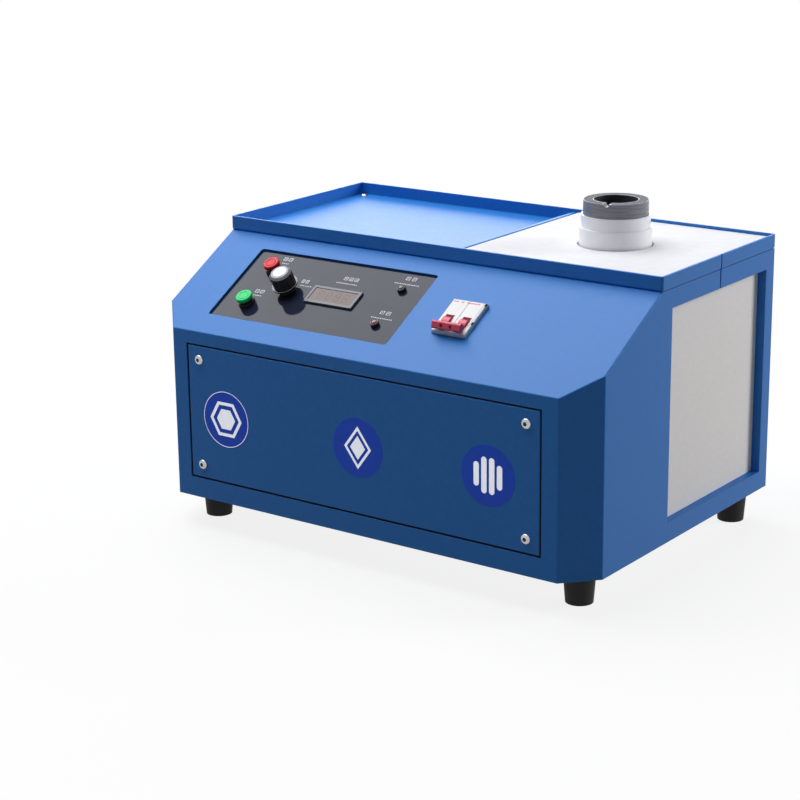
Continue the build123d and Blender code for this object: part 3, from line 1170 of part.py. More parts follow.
with BuildPart() as push_switches:
    with BuildSketch(PLATE):
        with Locations(*BUTTON_SPOTS.values()):
            Circle(COLLAR_RADIUS)
    extrude(amount=COLLAR_HEIGHT)
    with BuildSketch(PLATE):
        with Locations(*BUTTON_SPOTS.values()):
            Circle(SWITCH_THREAD_RADIUS)
    extrude(amount=-PLATE_THICKNESS - SWITCH_NUT_THICKNESS)
    with BuildSketch(PLATE.offset(-PLATE_THICKNESS)):
        with Locations(*BUTTON_SPOTS.values()):
            Circle(SWITCH_NUT_RADIUS)
    extrude(amount=-SWITCH_NUT_THICKNESS)
    with BuildSketch(PLATE.offset(-PLATE_THICKNESS - SWITCH_NUT_THICKNESS)):
        with Locations(*BUTTON_SPOTS.values()):
            Rectangle(SWITCH_BODY, SWITCH_BODY)
    extrude(amount=-SWITCH_BODY_DEPTH)
    with BuildSketch(PLATE.offset(COLLAR_HEIGHT)):
        with Locations(*BUTTON_SPOTS.values()):
            Circle(PLUNGER_RADIUS + SCREW_CLEARANCE)
    extrude(amount=-COLLAR_HEIGHT - PLUNGER_BORE_DEPTH, mode=Mode.SUBTRACT)
push_switches.part.label = "push_switches"
export_step(push_switches.part, "parts/push_switches.step")

# Signal lamps: turned bezels, each with a domed lens
with BuildPart() as lamp_bezels:
    with BuildSketch(PLATE):
        with Locations(*LAMP_SPOTS.values()):
            Circle(LAMP_RADIUS)
    extrude(amount=LAMP_FLANGE)
    chamfer(lamp_bezels.faces().sort_by(OUT_OF_SLOPE)[-2:].edges(), LAMP_EDGE)
    with BuildSketch(PLATE):
        with Locations(*LAMP_SPOTS.values()):
            Circle(LAMP_BODY_RADIUS)
    extrude(amount=-LAMP_BODY_DEPTH)
    with BuildSketch(PLATE):
        with Locations(*LAMP_SPOTS.values()):
            Circle(LAMP_LENS_RADIUS)
    extrude(amount=LAMP_FLANGE, mode=Mode.SUBTRACT)
lamp_bezels.part.label = "lamp_bezels"
export_step(lamp_bezels.part, "parts/lamp_bezels.step")

LENS_TOP = LAMP_FLANGE + LAMP_LENS_RISE
LENS_SPHERE = (LAMP_LENS_RADIUS**2 + LAMP_LENS_RISE**2) / (2 * LAMP_LENS_RISE)
for lamp, spot in LAMP_SPOTS.items():
    with BuildPart() as lamp_lens:
        with BuildSketch(axis_plane(*spot)):
            with BuildLine():
                Polyline((0, LENS_TOP), (0, 0), (LAMP_LENS_RADIUS, 0), (LAMP_LENS_RADIUS, LAMP_FLANGE))
                RadiusArc((LAMP_LENS_RADIUS, LAMP_FLANGE), (0, LENS_TOP), -LENS_SPHERE)
            make_face()
        revolve(axis=Axis(axis_plane(*spot).origin, PLATE.z_dir))
    lamp_lens.part.label = f"{lamp}_lens"
    export_step(lamp_lens.part, f"parts/{lamp}_lens.step")

# Control board on four standoffs behind the plate
with BuildPart() as control_board:
    with BuildSketch(PLATE.offset(-PLATE_THICKNESS - CONTROL_BOARD_DEPTH)):
        with Locations((PLATE_X, PLATE_ALONG)):
            Rectangle(CONTROL_BOARD_WIDTH, CONTROL_BOARD_LENGTH)
    extrude(amount=-BOARD_COPPER)
control_board.part.label = "control_board"
export_step(control_board.part, "parts/control_board.step")

with BuildPart() as board_standoffs:
    with BuildSketch(PLATE.offset(-PLATE_THICKNESS)):
        with Locations((PLATE_X, PLATE_ALONG)):
            with GridLocations(
                2 * STANDOFF_FROM_PLATE,
                CONTROL_BOARD_LENGTH - 2 * STANDOFF_INSET,
                2,
                2,
            ):
                RegularPolygon(STANDOFF_RADIUS, 6)
    extrude(amount=-CONTROL_BOARD_DEPTH)
board_standoffs.part.label = "board_standoffs"
export_step(board_standoffs.part, "parts/board_standoffs.step")


def side_plane(x):
    """Plane across the slope at x: local x up the slope, local y out of the sloping face."""
    return Plane(origin=SLOPE.from_local_coords((x, 0, 0)), x_dir=SLOPE.y_dir, z_dir=(1, 0, 0))


# Circuit breaker: nose through the sloping face, shoulders behind it, slots for the two toggles
BREAKER_BACK = BREAKER_RISE - BREAKER_DEPTH
PIVOT_ALONG = BREAKER_ALONG - TOGGLE_PIVOT_DOWN
PIVOT_RISE = BREAKER_RISE - TOGGLE_PIVOT_DEPTH
POLES = (BREAKER_X - POLE_PITCH / 2, BREAKER_X + POLE_PITCH / 2)
with BuildPart() as breaker_body:
    with BuildSketch(SLOPE.offset(BREAKER_RISE)):
        with Locations((BREAKER_X, BREAKER_ALONG)):
            Rectangle(BREAKER_WIDTH, BREAKER_NOSE)
    extrude(amount=-BREAKER_DEPTH)
    nose_front = breaker_body.faces().sort_by(OUT_OF_SLOPE)[-1]
    chamfer(nose_front.edges(), BREAKER_EDGE)
    with BuildSketch(SLOPE.offset(-BREAKER_SHOULDER)):
        with Locations((BREAKER_X, BREAKER_ALONG)):
            Rectangle(BREAKER_WIDTH, BREAKER_LENGTH)
    extrude(amount=BREAKER_BACK + BREAKER_SHOULDER)
    with BuildSketch(SLOPE.offset(BREAKER_RISE)):
        for pole in POLES:
            with Locations((pole, PIVOT_ALONG)):
                Rectangle(TOGGLE_DRUM_WIDTH + 2 * TOGGLE_SLOT_SLACK, TOGGLE_SLOT_LENGTH)
    extrude(amount=PIVOT_RISE - TOGGLE_DRUM_RADIUS - TOGGLE_SLOT_SLACK - BREAKER_RISE, mode=Mode.SUBTRACT)
    with BuildSketch(SLOPE.offset(BREAKER_RISE)):
        with Locations((BREAKER_X, BREAKER_ALONG)):
            Rectangle(POLE_GROOVE, BREAKER_NOSE)
    extrude(amount=-POLE_GROOVE, mode=Mode.SUBTRACT)
    with BuildSketch(SLOPE.offset(BREAKER_BACK)):
        with Locations((BREAKER_X, BREAKER_ALONG)):
            Rectangle(BREAKER_WIDTH, RAIL_WIDTH + 2 * FIT)
    extrude(amount=RAIL_SHEET, mode=Mode.SUBTRACT)
breaker_body.part.label = "breaker_body"
export_step(breaker_body.part, "parts/breaker_body.step")

# Toggle: two drums in the slots, an arm from each, and the bar that links them
with BuildPart() as breaker_toggle:
    for pole in POLES:
        with BuildSketch(side_plane(pole - TOGGLE_DRUM_WIDTH / 2)):
            with Locations(Location((PIVOT_ALONG, PIVOT_RISE, 0), (0, 0, TOGGLE_REST_ANGLE))):
                Circle(TOGGLE_DRUM_RADIUS)
                with Locations((0, TOGGLE_ARM / 2)):
                    Rectangle(TOGGLE_ARM_THICKNESS, TOGGLE_ARM)
        extrude(amount=TOGGLE_DRUM_WIDTH)
    with BuildSketch(side_plane(BREAKER_X - TOGGLE_BAR_LENGTH / 2)):
        with Locations(Location((PIVOT_ALONG, PIVOT_RISE, 0), (0, 0, TOGGLE_REST_ANGLE))):
            with Locations((0, TOGGLE_ARM)):
                RectangleRounded(TOGGLE_BAR_THICKNESS, TOGGLE_BAR_DEPTH, TOGGLE_BAR_ROUND)
    extrude(amount=TOGGLE_BAR_LENGTH)
    bar_turn = math.radians(TOGGLE_REST_ANGLE)
    bar_outward = SLOPE.z_dir * math.cos(bar_turn) - SLOPE.y_dir * math.sin(bar_turn)
    bar_front = SLOPE.from_local_coords((BREAKER_X, PIVOT_ALONG, PIVOT_RISE))
    bar_front += bar_outward * (TOGGLE_ARM + TOGGLE_BAR_DEPTH / 2)
    with BuildSketch(Plane(origin=bar_front, x_dir=(1, 0, 0), z_dir=bar_outward)):
        with GridLocations(TOGGLE_DIMPLE_PITCH, 1, 2, 1):
            Circle(TOGGLE_DIMPLE_RADIUS)
    extrude(amount=-TOGGLE_DIMPLE_DEPTH, mode=Mode.SUBTRACT)
breaker_toggle.part.label = "breaker_toggle"
export_step(breaker_toggle.part, "parts/breaker_toggle.step")

# Hat rail that the breaker clips on, and the bracket that carries the rail from the sloping face
RAIL_TOP = BREAKER_BACK + RAIL_SHEET
RAIL_BOTTOM = RAIL_TOP - RAIL_DEPTH
RAIL_LENGTH = BRACKET_INSIDE - 2 * FIT
with BuildPart() as breaker_rail:
    with BuildSketch(side_plane(BREAKER_X - RAIL_LENGTH / 2)):
        with Locations((BREAKER_ALONG, RAIL_TOP - RAIL_SHEET / 2)):
            Rectangle(RAIL_WIDTH, RAIL_SHEET)
        with Locations((BREAKER_ALONG, RAIL_TOP - RAIL_DEPTH / 2)):
            Rectangle(RAIL_CROWN, RAIL_DEPTH)
        with Locations((BREAKER_ALONG, RAIL_TOP - (RAIL_DEPTH - RAIL_SHEET) / 2)):
            Rectangle(RAIL_CROWN - 2 * RAIL_SHEET, RAIL_DEPTH - RAIL_SHEET, mode=Mode.SUBTRACT)
    extrude(amount=RAIL_LENGTH)
breaker_rail.part.label = "breaker_rail"
export_step(breaker_rail.part, "parts/breaker_rail.step")

with BuildPart() as breaker_bracket:
    with BuildSketch(SLOPE.offset(-SHEET)):
        with Locations((BREAKER_X, BREAKER_ALONG)):
            Rectangle(BRACKET_INSIDE + 2 * BRACKET_SHEET, BRACKET_WIDTH)
    extrude(amount=RAIL_BOTTOM - BRACKET_SHEET + SHEET)
    with BuildSketch(SLOPE.offset(-SHEET)):
        with Locations((BREAKER_X, BREAKER_ALONG)):
            Rectangle(BRACKET_INSIDE, BRACKET_WIDTH)
    extrude(amount=RAIL_BOTTOM + SHEET, mode=Mode.SUBTRACT)
breaker_bracket.part.label = "breaker_bracket"
export_step(breaker_bracket.part, "parts/breaker_bracket.step")

# Inverter: heat sink with its fins down, power modules, board and reservoir capacitors
SINK_BACK = SHEET + FAN_DEPTH + SINK_FROM_FAN
SINK_MIDDLE_Y = REAR_Y - SINK_BACK - SINK_LENGTH / 2
SINK_TOP = PAN_TOP + SINK_FIN_HEIGHT + SINK_BASE
MODULE_TOP = SINK_TOP + MODULE_HEIGHT
INVERTER_BOARD_TOP = MODULE_TOP + BOARD_COPPER
with BuildPart() as heat_sink:
    with BuildSketch(REAR.offset(SINK_BACK)):
        with Locations((FAN_X, SINK_TOP - SINK_BASE / 2 - BODY_BOTTOM)):
            Rectangle(SINK_WIDTH, SINK_BASE)
        fin_pitch = (SINK_WIDTH - SINK_FIN_THICKNESS) / (SINK_FINS - 1)
        with Locations((FAN_X, SHEET + SINK_FIN_HEIGHT / 2)):
            with GridLocations(fin_pitch, 1, SINK_FINS, 1):
                Rectangle(SINK_FIN_THICKNESS, SINK_FIN_HEIGHT)
    extrude(amount=SINK_LENGTH)
heat_sink.part.label = "heat_sink"
export_step(heat_sink.part, "parts/heat_sink.step")

with BuildPart() as power_modules:
    with BuildSketch(Plane.XY.offset(SINK_TOP)):
        with Locations((FAN_X, SINK_MIDDLE_Y)):
            with GridLocations(MODULE_PITCH, 1, MODULE_COUNT, 1):
                Rectangle(MODULE_WIDTH, MODULE_LENGTH)
    extrude(amount=MODULE_HEIGHT)
power_modules.part.label = "power_modules"
export_step(power_modules.part, "parts/power_modules.step")

with BuildPart() as inverter_board:
    with BuildSketch(Plane.XY.offset(MODULE_TOP)):
        with Locations((FAN_X, SINK_MIDDLE_Y)):
            Rectangle(SINK_WIDTH, SINK_LENGTH)
    extrude(amount=BOARD_COPPER)
inverter_board.part.label = "inverter_board"
export_step(inverter_board.part, "parts/inverter_board.step")

with BuildPart() as reservoir_capacitors:
    with BuildSketch(Plane.XY.offset(INVERTER_BOARD_TOP)):
        with Locations((FAN_X, SINK_MIDDLE_Y)):
            with GridLocations(CAN_PITCH, 1, CAN_COUNT, 1):
                Circle(CAN_RADIUS)
    extrude(amount=CAN_HEIGHT)
reservoir_capacitors.part.label = "reservoir_capacitors"
export_step(reservoir_capacitors.part, "parts/reservoir_capacitors.step")

# Matching transformer: a wound toroid held down by a disc and a bolt
CHOKE_Y = FRONT_Y + CHOKE_FROM_FRONT
with BuildPart() as matching_toroid:
    with BuildSketch(Plane.XY.offset(PAN_TOP)):
        with Locations((CHOKE_X, CHOKE_Y)):
            Circle(CHOKE_RADIUS)
            Circle(CHOKE_HOLE_RADIUS, mode=Mode.SUBTRACT)
    extrude(amount=CHOKE_HEIGHT)
    chamfer(matching_toroid.edges().filter_by(GeomType.CIRCLE), CHOKE_ROUND)
matching_toroid.part.label = "matching_toroid"
export_step(matching_toroid.part, "parts/matching_toroid.step")

with BuildPart() as toroid_clamp:
    with BuildSketch(Plane.XY.offset(PAN_TOP + CHOKE_HEIGHT)):
        with Locations((CHOKE_X, CHOKE_Y)):
            Circle(CHOKE_CLAMP_RADIUS)
    extrude(amount=CHOKE_CLAMP_THICKNESS)
    with BuildSketch(Plane.XY.offset(PAN_TOP + CHOKE_HEIGHT + CHOKE_CLAMP_THICKNESS)):
        with Locations((CHOKE_X, CHOKE_Y)):
            RegularPolygon(2 * CHOKE_BOLT_RADIUS, 6)
    extrude(amount=CHOKE_BOLT_HEAD)
    with BuildSketch(Plane.XY.offset(PAN_TOP)):
        with Locations((CHOKE_X, CHOKE_Y)):
            Circle(CHOKE_BOLT_RADIUS)
    extrude(amount=CHOKE_HEIGHT + CHOKE_CLAMP_THICKNESS)
toroid_clamp.part.label = "toroid_clamp"
export_step(toroid_clamp.part, "parts/toroid_clamp.step")
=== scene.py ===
"""Dresses a table-top induction melting furnace: finishes for its fixed pieces, and the fine pieces on them.

Lengths are metres in the frame of the fixed pieces: +X right, +Y back, +Z up, front towards -Y.
"""
import json
import logging
import math
from collections.abc import Callable, Iterable, Sequence
from dataclasses import dataclass
from enum import Enum

import bmesh
import bpy
from mathutils import Matrix, Vector


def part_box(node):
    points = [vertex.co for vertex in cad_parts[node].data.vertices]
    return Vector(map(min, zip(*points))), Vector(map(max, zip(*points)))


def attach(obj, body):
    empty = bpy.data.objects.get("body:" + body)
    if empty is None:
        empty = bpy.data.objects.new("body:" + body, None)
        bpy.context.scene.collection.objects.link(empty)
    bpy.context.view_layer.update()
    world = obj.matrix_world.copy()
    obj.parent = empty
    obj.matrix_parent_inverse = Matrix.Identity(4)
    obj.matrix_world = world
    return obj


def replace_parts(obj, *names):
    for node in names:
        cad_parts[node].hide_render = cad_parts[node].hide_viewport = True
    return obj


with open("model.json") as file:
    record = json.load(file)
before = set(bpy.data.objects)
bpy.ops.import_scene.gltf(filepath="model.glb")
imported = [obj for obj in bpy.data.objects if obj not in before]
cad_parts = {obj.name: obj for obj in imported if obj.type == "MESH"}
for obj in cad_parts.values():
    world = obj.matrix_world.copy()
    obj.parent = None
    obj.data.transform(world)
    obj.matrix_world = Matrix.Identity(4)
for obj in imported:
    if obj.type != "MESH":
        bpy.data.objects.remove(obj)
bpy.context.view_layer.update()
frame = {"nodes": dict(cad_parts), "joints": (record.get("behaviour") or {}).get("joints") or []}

MM = 0.001
LOG = logging.getLogger("furnace")
Point2 = tuple[float, float]
Outline = list[Point2]
Colour = tuple[float, float, float]


def srgb(red: float, green: float, blue: float) -> Colour:
    """Linear colour of an 8-bit display colour.

    Args:
        red: red, 0 to 255.
        green: green, 0 to 255.
        blue: blue, 0 to 255.

    Returns:
        The three channels in linear light, 0 to 1.
    """
    return tuple(
        c / 12.92 if c <= 0.04045 else ((c + 0.055) / 1.055) ** 2.4
        for c in (red / 255, green / 255, blue / 255)
    )


# ---------------------------------------------------------------- finishes


class Pattern(Enum):
    """What breaks up a surface's colour."""

    CLOUD = "cloud"
    SPECKS = "specks"
    TURNED = "turned"
    BRUSHED = "brushed"


@dataclass(frozen=True)
class Finish:
    """A procedural finish: a base colour with a pattern in it, and fine relief.

    Attributes:
        name: the material's name.
        slot: the record's material slot that it belongs to; not used.
        colour: linear base colour.
        second: linear colour that the pattern brings in.
        roughness: mean roughness.
        metallic: 0 for a dielectric, 1 for bare metal.
        pattern: how the two colours are mixed.
        pattern_size: size of the pattern's features, in metres.
        relief_size: size of the relief's grain, in metres.
        relief: strength of the relief, 0 to 1.
        relief_depth: height of the relief, in metres.
        roughness_spread: how far roughness strays from its mean.
        coat: weight of a clear coat.
        specular: specular level of the base.
        edge_round: radius by which sharp edges look rounded, in metres.
    """

    name: str
    slot: str
    colour: Colour
    second: Colour
    roughness: float
    metallic: float = 0.0
    pattern: Pattern = Pattern.CLOUD
    pattern_size: float = 0.02
    relief_size: float = 0.001
    relief: float = 0.2
    relief_depth: float = 0.0001
    roughness_spread: float = 0.08
    coat: float = 0.0
    specular: float = 0.5
    edge_round: float = 0.0

    def material(self) -> bpy.types.Material:
        """Builds the material once, and returns it."""
        found = bpy.data.materials.get(self.name)
        if found:
            return found
        made = bpy.data.materials.new(self.name)
        made.use_nodes = True
        tree = made.node_tree
        shader = tree.nodes["Principled BSDF"]
        shader.inputs["Metallic"].default_value = self.metallic
        shader.inputs["Specular IOR Level"].default_value = self.specular
        shader.inputs["Coat Weight"].default_value = self.coat
        shader.inputs["Coat Roughness"].default_value = 0.06
        place = tree.nodes.new("ShaderNodeTexCoord").outputs["Object"]
        self._mix_colours(tree, shader, self._pattern(tree, place))
        self._add_relief(tree, shader, place)
        made.diffuse_color = (*self.colour, 1)
        return made

    def _noise(self, tree: bpy.types.NodeTree, place: bpy.types.NodeSocket, size: float, detail: float):
        """A noise texture whose features have a size in metres."""
        noise = tree.nodes.new("ShaderNodeTexNoise")
        noise.inputs["Scale"].default_value = 1 / size
        noise.inputs["Detail"].default_value = detail
        tree.links.new(place, noise.inputs["Vector"])
        return noise

    def _stretched(self, tree: bpy.types.NodeTree, place: bpy.types.NodeSocket, scale: Sequence[float]):
        """The place stretched along the axes, for streaks."""
        mapping = tree.nodes.new("ShaderNodeMapping")
        mapping.inputs["Scale"].default_value = scale
        tree.links.new(place, mapping.inputs["Vector"])
        return mapping.outputs["Vector"]

    def _pattern(self, tree: bpy.types.NodeTree, place: bpy.types.NodeSocket) -> bpy.types.NodeSocket:
        """The pattern's strength over the surface, 0 to 1."""
        if self.pattern is Pattern.SPECKS:
            cells = tree.nodes.new("ShaderNodeTexVoronoi")
            cells.inputs["Scale"].default_value = 1 / self.pattern_size
            tree.links.new(place, cells.inputs["Vector"])
            return self._ramp(tree, cells.outputs["Distance"], (0.16, 1.0), (0.3, 0.0))
        if self.pattern is Pattern.TURNED:
            place = self._stretched(tree, place, (0.15, 0.15, 6.0))
        if self.pattern is Pattern.BRUSHED:
            place = self._stretched(tree, place, (0.2, 3.0, 3.0))
        noise = self._noise(tree, place, self.pattern_size, 5.0)
        return self._ramp(tree, noise.outputs["Fac"], (0.36, 0.0), (0.66, 1.0))

    def _ramp(self, tree: bpy.types.NodeTree, value: bpy.types.NodeSocket, low: Point2, high: Point2):
        """A value mapped from low's place and level to high's."""
        ranged = tree.nodes.new("ShaderNodeMapRange")
        ranged.inputs["From Min"].default_value = low[0]
        ranged.inputs["From Max"].default_value = high[0]
        ranged.inputs["To Min"].default_value = low[1]
        ranged.inputs["To Max"].default_value = high[1]
        tree.links.new(value, ranged.inputs["Value"])
        return ranged.outputs["Result"]

    def _mix_colours(self, tree: bpy.types.NodeTree, shader: bpy.types.Node, share: bpy.types.NodeSocket) -> None:
        """Mixes the two colours by the pattern, and lets roughness follow it."""
        mix = tree.nodes.new("ShaderNodeMix")
        mix.data_type = "RGBA"
        mix.inputs["A"].default_value = (*self.colour, 1)
        mix.inputs["B"].default_value = (*self.second, 1)
        tree.links.new(share, mix.inputs["Factor"])
        tree.links.new(mix.outputs["Result"], shader.inputs["Base Color"])
        low = self.roughness - self.roughness_spread / 2
        rough = self._ramp(tree, share, (0.0, low), (1.0, low + self.roughness_spread))
        tree.links.new(rough, shader.inputs["Roughness"])

    def _add_relief(self, tree: bpy.types.NodeTree, shader: bpy.types.Node, place: bpy.types.NodeSocket) -> None:
        """Adds the fine relief as a bump."""
        if self.pattern is Pattern.TURNED:
            place = self._stretched(tree, place, (0.15, 0.15, 2.0))
        noise = self._noise(tree, place, self.relief_size, 2.0)
        bump = tree.nodes.new("ShaderNodeBump")
        bump.inputs["Strength"].default_value = self.relief
        bump.inputs["Distance"].default_value = self.relief_depth
        tree.links.new(noise.outputs["Fac"], bump.inputs["Height"])
        if self.edge_round:
            edge = tree.nodes.new("ShaderNodeBevel")
            edge.samples = 4
            edge.inputs["Radius"].default_value = self.edge_round
            tree.links.new(edge.outputs["Normal"], bump.inputs["Normal"])
        tree.links.new(bump.outputs["Normal"], shader.inputs["Normal"])


BLUE_POWDER = Finish(
    "blue_powder_coat", "blue_paint", srgb(30, 113, 194), srgb(34, 118, 200), 0.42, pattern_size=0.004,
    relief_size=0.0011, relief=0.35, relief_depth=0.00012, roughness_spread=0.06, specular=0.25, edge_round=0.001,
)
ZINC = Finish(
    "zinc_plate", "steel_zinc", srgb(178, 180, 184), srgb(156, 160, 168), 0.38, 1.0, Pattern.CLOUD, 0.012, 0.002, 0.15,
)
SCREW_STEEL = Finish(
    "bright_screw_steel", "screw_steel", srgb(192, 193, 196), srgb(164, 166, 172), 0.22, 1.0, Pattern.TURNED,
    0.002, 0.0008, 0.12,
)
RUBBER = Finish(
    "black_rubber", "rubber_black", srgb(20, 20, 21), srgb(30, 30, 31), 0.7, 0, Pattern.CLOUD, 0.006, 0.0009, 0.4,
    specular=0.3, edge_round=0.0006,
)
WHITE_BOARD = Finish(
    "white_fibre_board", "board_white", srgb(220, 221, 226), srgb(215, 217, 222), 0.86, 0, Pattern.CLOUD,
    0.012, 0.0014, 0.35, specular=0.1, edge_round=0.0006,
)
GREY_BOARD = Finish(
    "grey_fibre_board", "board_grey", srgb(248, 245, 243), srgb(244, 241, 239), 0.9, 0, Pattern.CLOUD,
    0.004, 0.0011, 0.3, specular=0.8,
)
BRICK = Finish(
    "insulating_brick", "brick", srgb(226, 214, 190), srgb(206, 190, 160), 0.95, 0, Pattern.SPECKS, 0.004, 0.002, 0.7,
)
CERAMIC = Finish(
    "white_ceramic", "ceramic_white", srgb(252, 252, 254), srgb(248, 248, 251), 0.42, 0, Pattern.CLOUD,
    0.01, 0.001, 0.12, coat=0.5, specular=0.8, edge_round=0.0006,
)
GRAPHITE = Finish(
    "turned_graphite", "graphite", srgb(124, 125, 133), srgb(131, 132, 140), 0.28, 0.12, Pattern.TURNED,
    0.004, 0.0009, 0.05, roughness_spread=0.03, specular=0.35, edge_round=0.001,
)
# Painted shade: darker, dull copy of the graphite for the crucible's top face, which would otherwise look too bright.
GRAPHITE_TOP_SHADE = Finish(
    "graphite_top_painted_shade", "graphite", srgb(106, 107, 115), srgb(116, 117, 125), 0.75, 0, Pattern.CLOUD,
    0.003, 0.0009, 0.3, specular=0.05,
)
# Painted shade: near-black graphite for a skin inside the crucible's bore, where the shade falls.
GRAPHITE_BORE_SHADE = Finish(
    "graphite_painted_bore_shade", "graphite", srgb(46, 46, 52), srgb(58, 58, 64), 0.6, 0, Pattern.CLOUD,
    0.006, 0.0009, 0.3, specular=0.15,
)
# Painted highlight: light graphite for the wire along the crucible's inner lip, where a highlight runs along the edge.
GRAPHITE_LIP_HIGHLIGHT = Finish(
    "graphite_painted_highlight", "graphite", srgb(176, 177, 184), srgb(160, 161, 168), 0.4, 0.2, Pattern.CLOUD, 0.002, 0.0009, 0.2,
)
COPPER = Finish(
    "copper", "copper", srgb(190, 116, 84), srgb(170, 96, 66), 0.3, 1.0, Pattern.BRUSHED, 0.004, 0.001, 0.15,
)
BRASS = Finish(
    "brass", "brass", srgb(206, 172, 104), srgb(186, 150, 84), 0.28, 1.0, Pattern.TURNED, 0.003, 0.001, 0.12,
)
GLOSS_PLATE = Finish(
    "gloss_black_plate", "plate_black", srgb(33, 41, 60), srgb(37, 45, 64), 0.07, 0, Pattern.CLOUD,
    0.03, 0.02, 0.02, roughness_spread=0.02, specular=0.15,
)
BLACK_PLASTIC = Finish(
    "black_plastic", "plastic_black", srgb(22, 22, 25), srgb(28, 28, 31), 0.36, 0, Pattern.CLOUD,
    0.004, 0.0007, 0.2, edge_round=0.0004,
)
SATIN_BLACK = Finish(
    "satin_black", "plastic_black", srgb(18, 18, 21), srgb(24, 24, 27), 0.22, 0, Pattern.TURNED,
    0.002, 0.0007, 0.1, coat=0.3, edge_round=0.0004,
)
GREY_PLASTIC = Finish(
    "grey_plastic", "plastic_grey", srgb(128, 131, 138), srgb(118, 122, 130), 0.5, 0, Pattern.CLOUD, 0.006, 0.0008, 0.2,
)
WHITE_PLASTIC = Finish(
    "white_plastic", "plastic_white", srgb(228, 228, 231), srgb(222, 223, 227), 0.34, 0, Pattern.CLOUD,
    0.008, 0.0009, 0.12, specular=0.35, edge_round=0.0005,
)
GLOSS_WHITE = Finish(
    "gloss_white", "plastic_white", srgb(242, 243, 247), srgb(238, 239, 244), 0.2, 0, Pattern.CLOUD,
    0.004, 0.0009, 0.05, coat=0.2,
)
GREEN_PLASTIC = Finish(
    "green_plastic", "plastic_green", srgb(14, 214, 116), srgb(22, 222, 124), 0.32, 0, Pattern.CLOUD,
    0.003, 0.0006, 0.15, specular=0.2, edge_round=0.0006,
)
RED_PLASTIC = Finish(
    "red_plastic", "plastic_red", srgb(216, 30, 46), srgb(222, 38, 54), 0.32, 0, Pattern.CLOUD,
    0.003, 0.0006, 0.15, specular=0.18, edge_round=0.0006,
)
TOGGLE_RED = Finish(
    "toggle_red", "toggle_red", srgb(184, 12, 40), srgb(192, 20, 48), 0.36, 0, Pattern.CLOUD,
    0.003, 0.0006, 0.15, specular=0.18, edge_round=0.0006,
)
SMOKED_LENS = Finish(
    "smoked_lens", "lens_smoke", srgb(88, 62, 58), srgb(98, 70, 66), 0.12, 0, Pattern.SPECKS,
    0.0016, 0.01, 0.03, specular=0.3,
)
DIM_SEGMENT = Finish(
    "dim_segment", "lens_smoke", srgb(58, 40, 40), srgb(62, 44, 44), 0.2, 0, Pattern.CLOUD,
    0.002, 0.01, 0.03, specular=0.3,
)
METER_FRAME = Finish(
    "meter_frame", "plastic_grey", srgb(86, 89, 102), srgb(98, 101, 114), 0.34, 0, Pattern.CLOUD,
    0.004, 0.0008, 0.1, specular=0.4,
)
DARK_LENS = Finish(
    "dark_lens", "lens_dark", srgb(38, 16, 20), srgb(48, 22, 26), 0.1, 0, Pattern.CLOUD, 0.002, 0.01, 0.03, coat=0.3,
)
LIT_LENS = Finish(
    "red_lens", "lens_dark", srgb(122, 16, 34), srgb(142, 26, 44), 0.1, 0, Pattern.CLOUD, 0.002, 0.01, 0.03, coat=0.3,
)
CHROME = Finish(
    "chrome", "chrome", srgb(224, 226, 230), srgb(208, 210, 216), 0.1, 1.0, Pattern.TURNED, 0.003, 0.002, 0.04,
)
ALUMINIUM = Finish(
    "aluminium", "aluminium", srgb(206, 208, 212), srgb(190, 193, 198), 0.3, 1.0, Pattern.BRUSHED, 0.002, 0.001, 0.15,
)
CAP_GREY = Finish(
    "satin_grey_cap", "aluminium", srgb(92, 94, 102), srgb(104, 106, 114), 0.3, 0.6, Pattern.TURNED,
    0.002, 0.001, 0.1, edge_round=0.0005,
)
# Painted highlight: grey finish for wire hoops that stand for the highlights on the knob skirt's edges.
HOOP_HIGHLIGHT_GREY = Finish(
    "hoop_painted_highlight", "aluminium", srgb(150, 152, 160), srgb(136, 138, 146), 0.3, 0.5, Pattern.TURNED, 0.002, 0.001, 0.1,
)
CIRCUIT = Finish(
    "circuit_board", "circuit_board", srgb(20, 92, 58), srgb(26, 108, 66), 0.4, 0, Pattern.SPECKS, 0.006, 0.002, 0.2,
)
CAN_SLEEVE = Finish(
    "can_sleeve", "capacitor_sleeve", srgb(44, 54, 92), srgb(38, 46, 82), 0.35, 0, Pattern.CLOUD, 0.01, 0.002, 0.1,
)
WINDING = Finish(
    "enamelled_winding", "wound_wire", srgb(168, 92, 48), srgb(140, 70, 34), 0.3, 0.4, Pattern.BRUSHED,
    0.003, 0.002, 0.5,
)
STICKER_BLUE = Finish(
    "sticker_blue", "blue_paint", srgb(36, 90, 234), srgb(40, 94, 238), 0.4, 0, Pattern.CLOUD,
    0.003, 0.002, 0.03, roughness_spread=0.02, specular=0.2,
)
PRINT_WHITE = Finish(
    "print_white", "plastic_white", srgb(242, 247, 255), srgb(238, 243, 252), 0.42, 0.68, Pattern.CLOUD,
    0.004, 0.001, 0.08,
)
PLATE_PRINT = Finish(
    "plate_print_white", "plastic_white", srgb(224, 226, 234), srgb(216, 219, 228), 0.5, 0, Pattern.CLOUD,
    0.004, 0.001, 0.08, specular=0.2,
)
# Painted shade: near-black finish for flat marks that stand in for the shade in recesses.
NOTCH_SHADE = Finish(
    "notch_painted_shade", "plastic_black", srgb(12, 12, 14), srgb(16, 16, 18), 0.8, 0, Pattern.CLOUD,
    0.004, 0.001, 0.1, specular=0.1,
)
# Painted shade: dark, dull finish for the prism at the bottom of each screw's recess, where the shade falls.
SCREW_RECESS_SHADE = Finish(
    "screw_recess_painted_shade", "screw_steel", srgb(34, 34, 37), srgb(46, 46, 50), 0.5, 0, Pattern.TURNED, 0.002, 0.0008, 0.12,
)
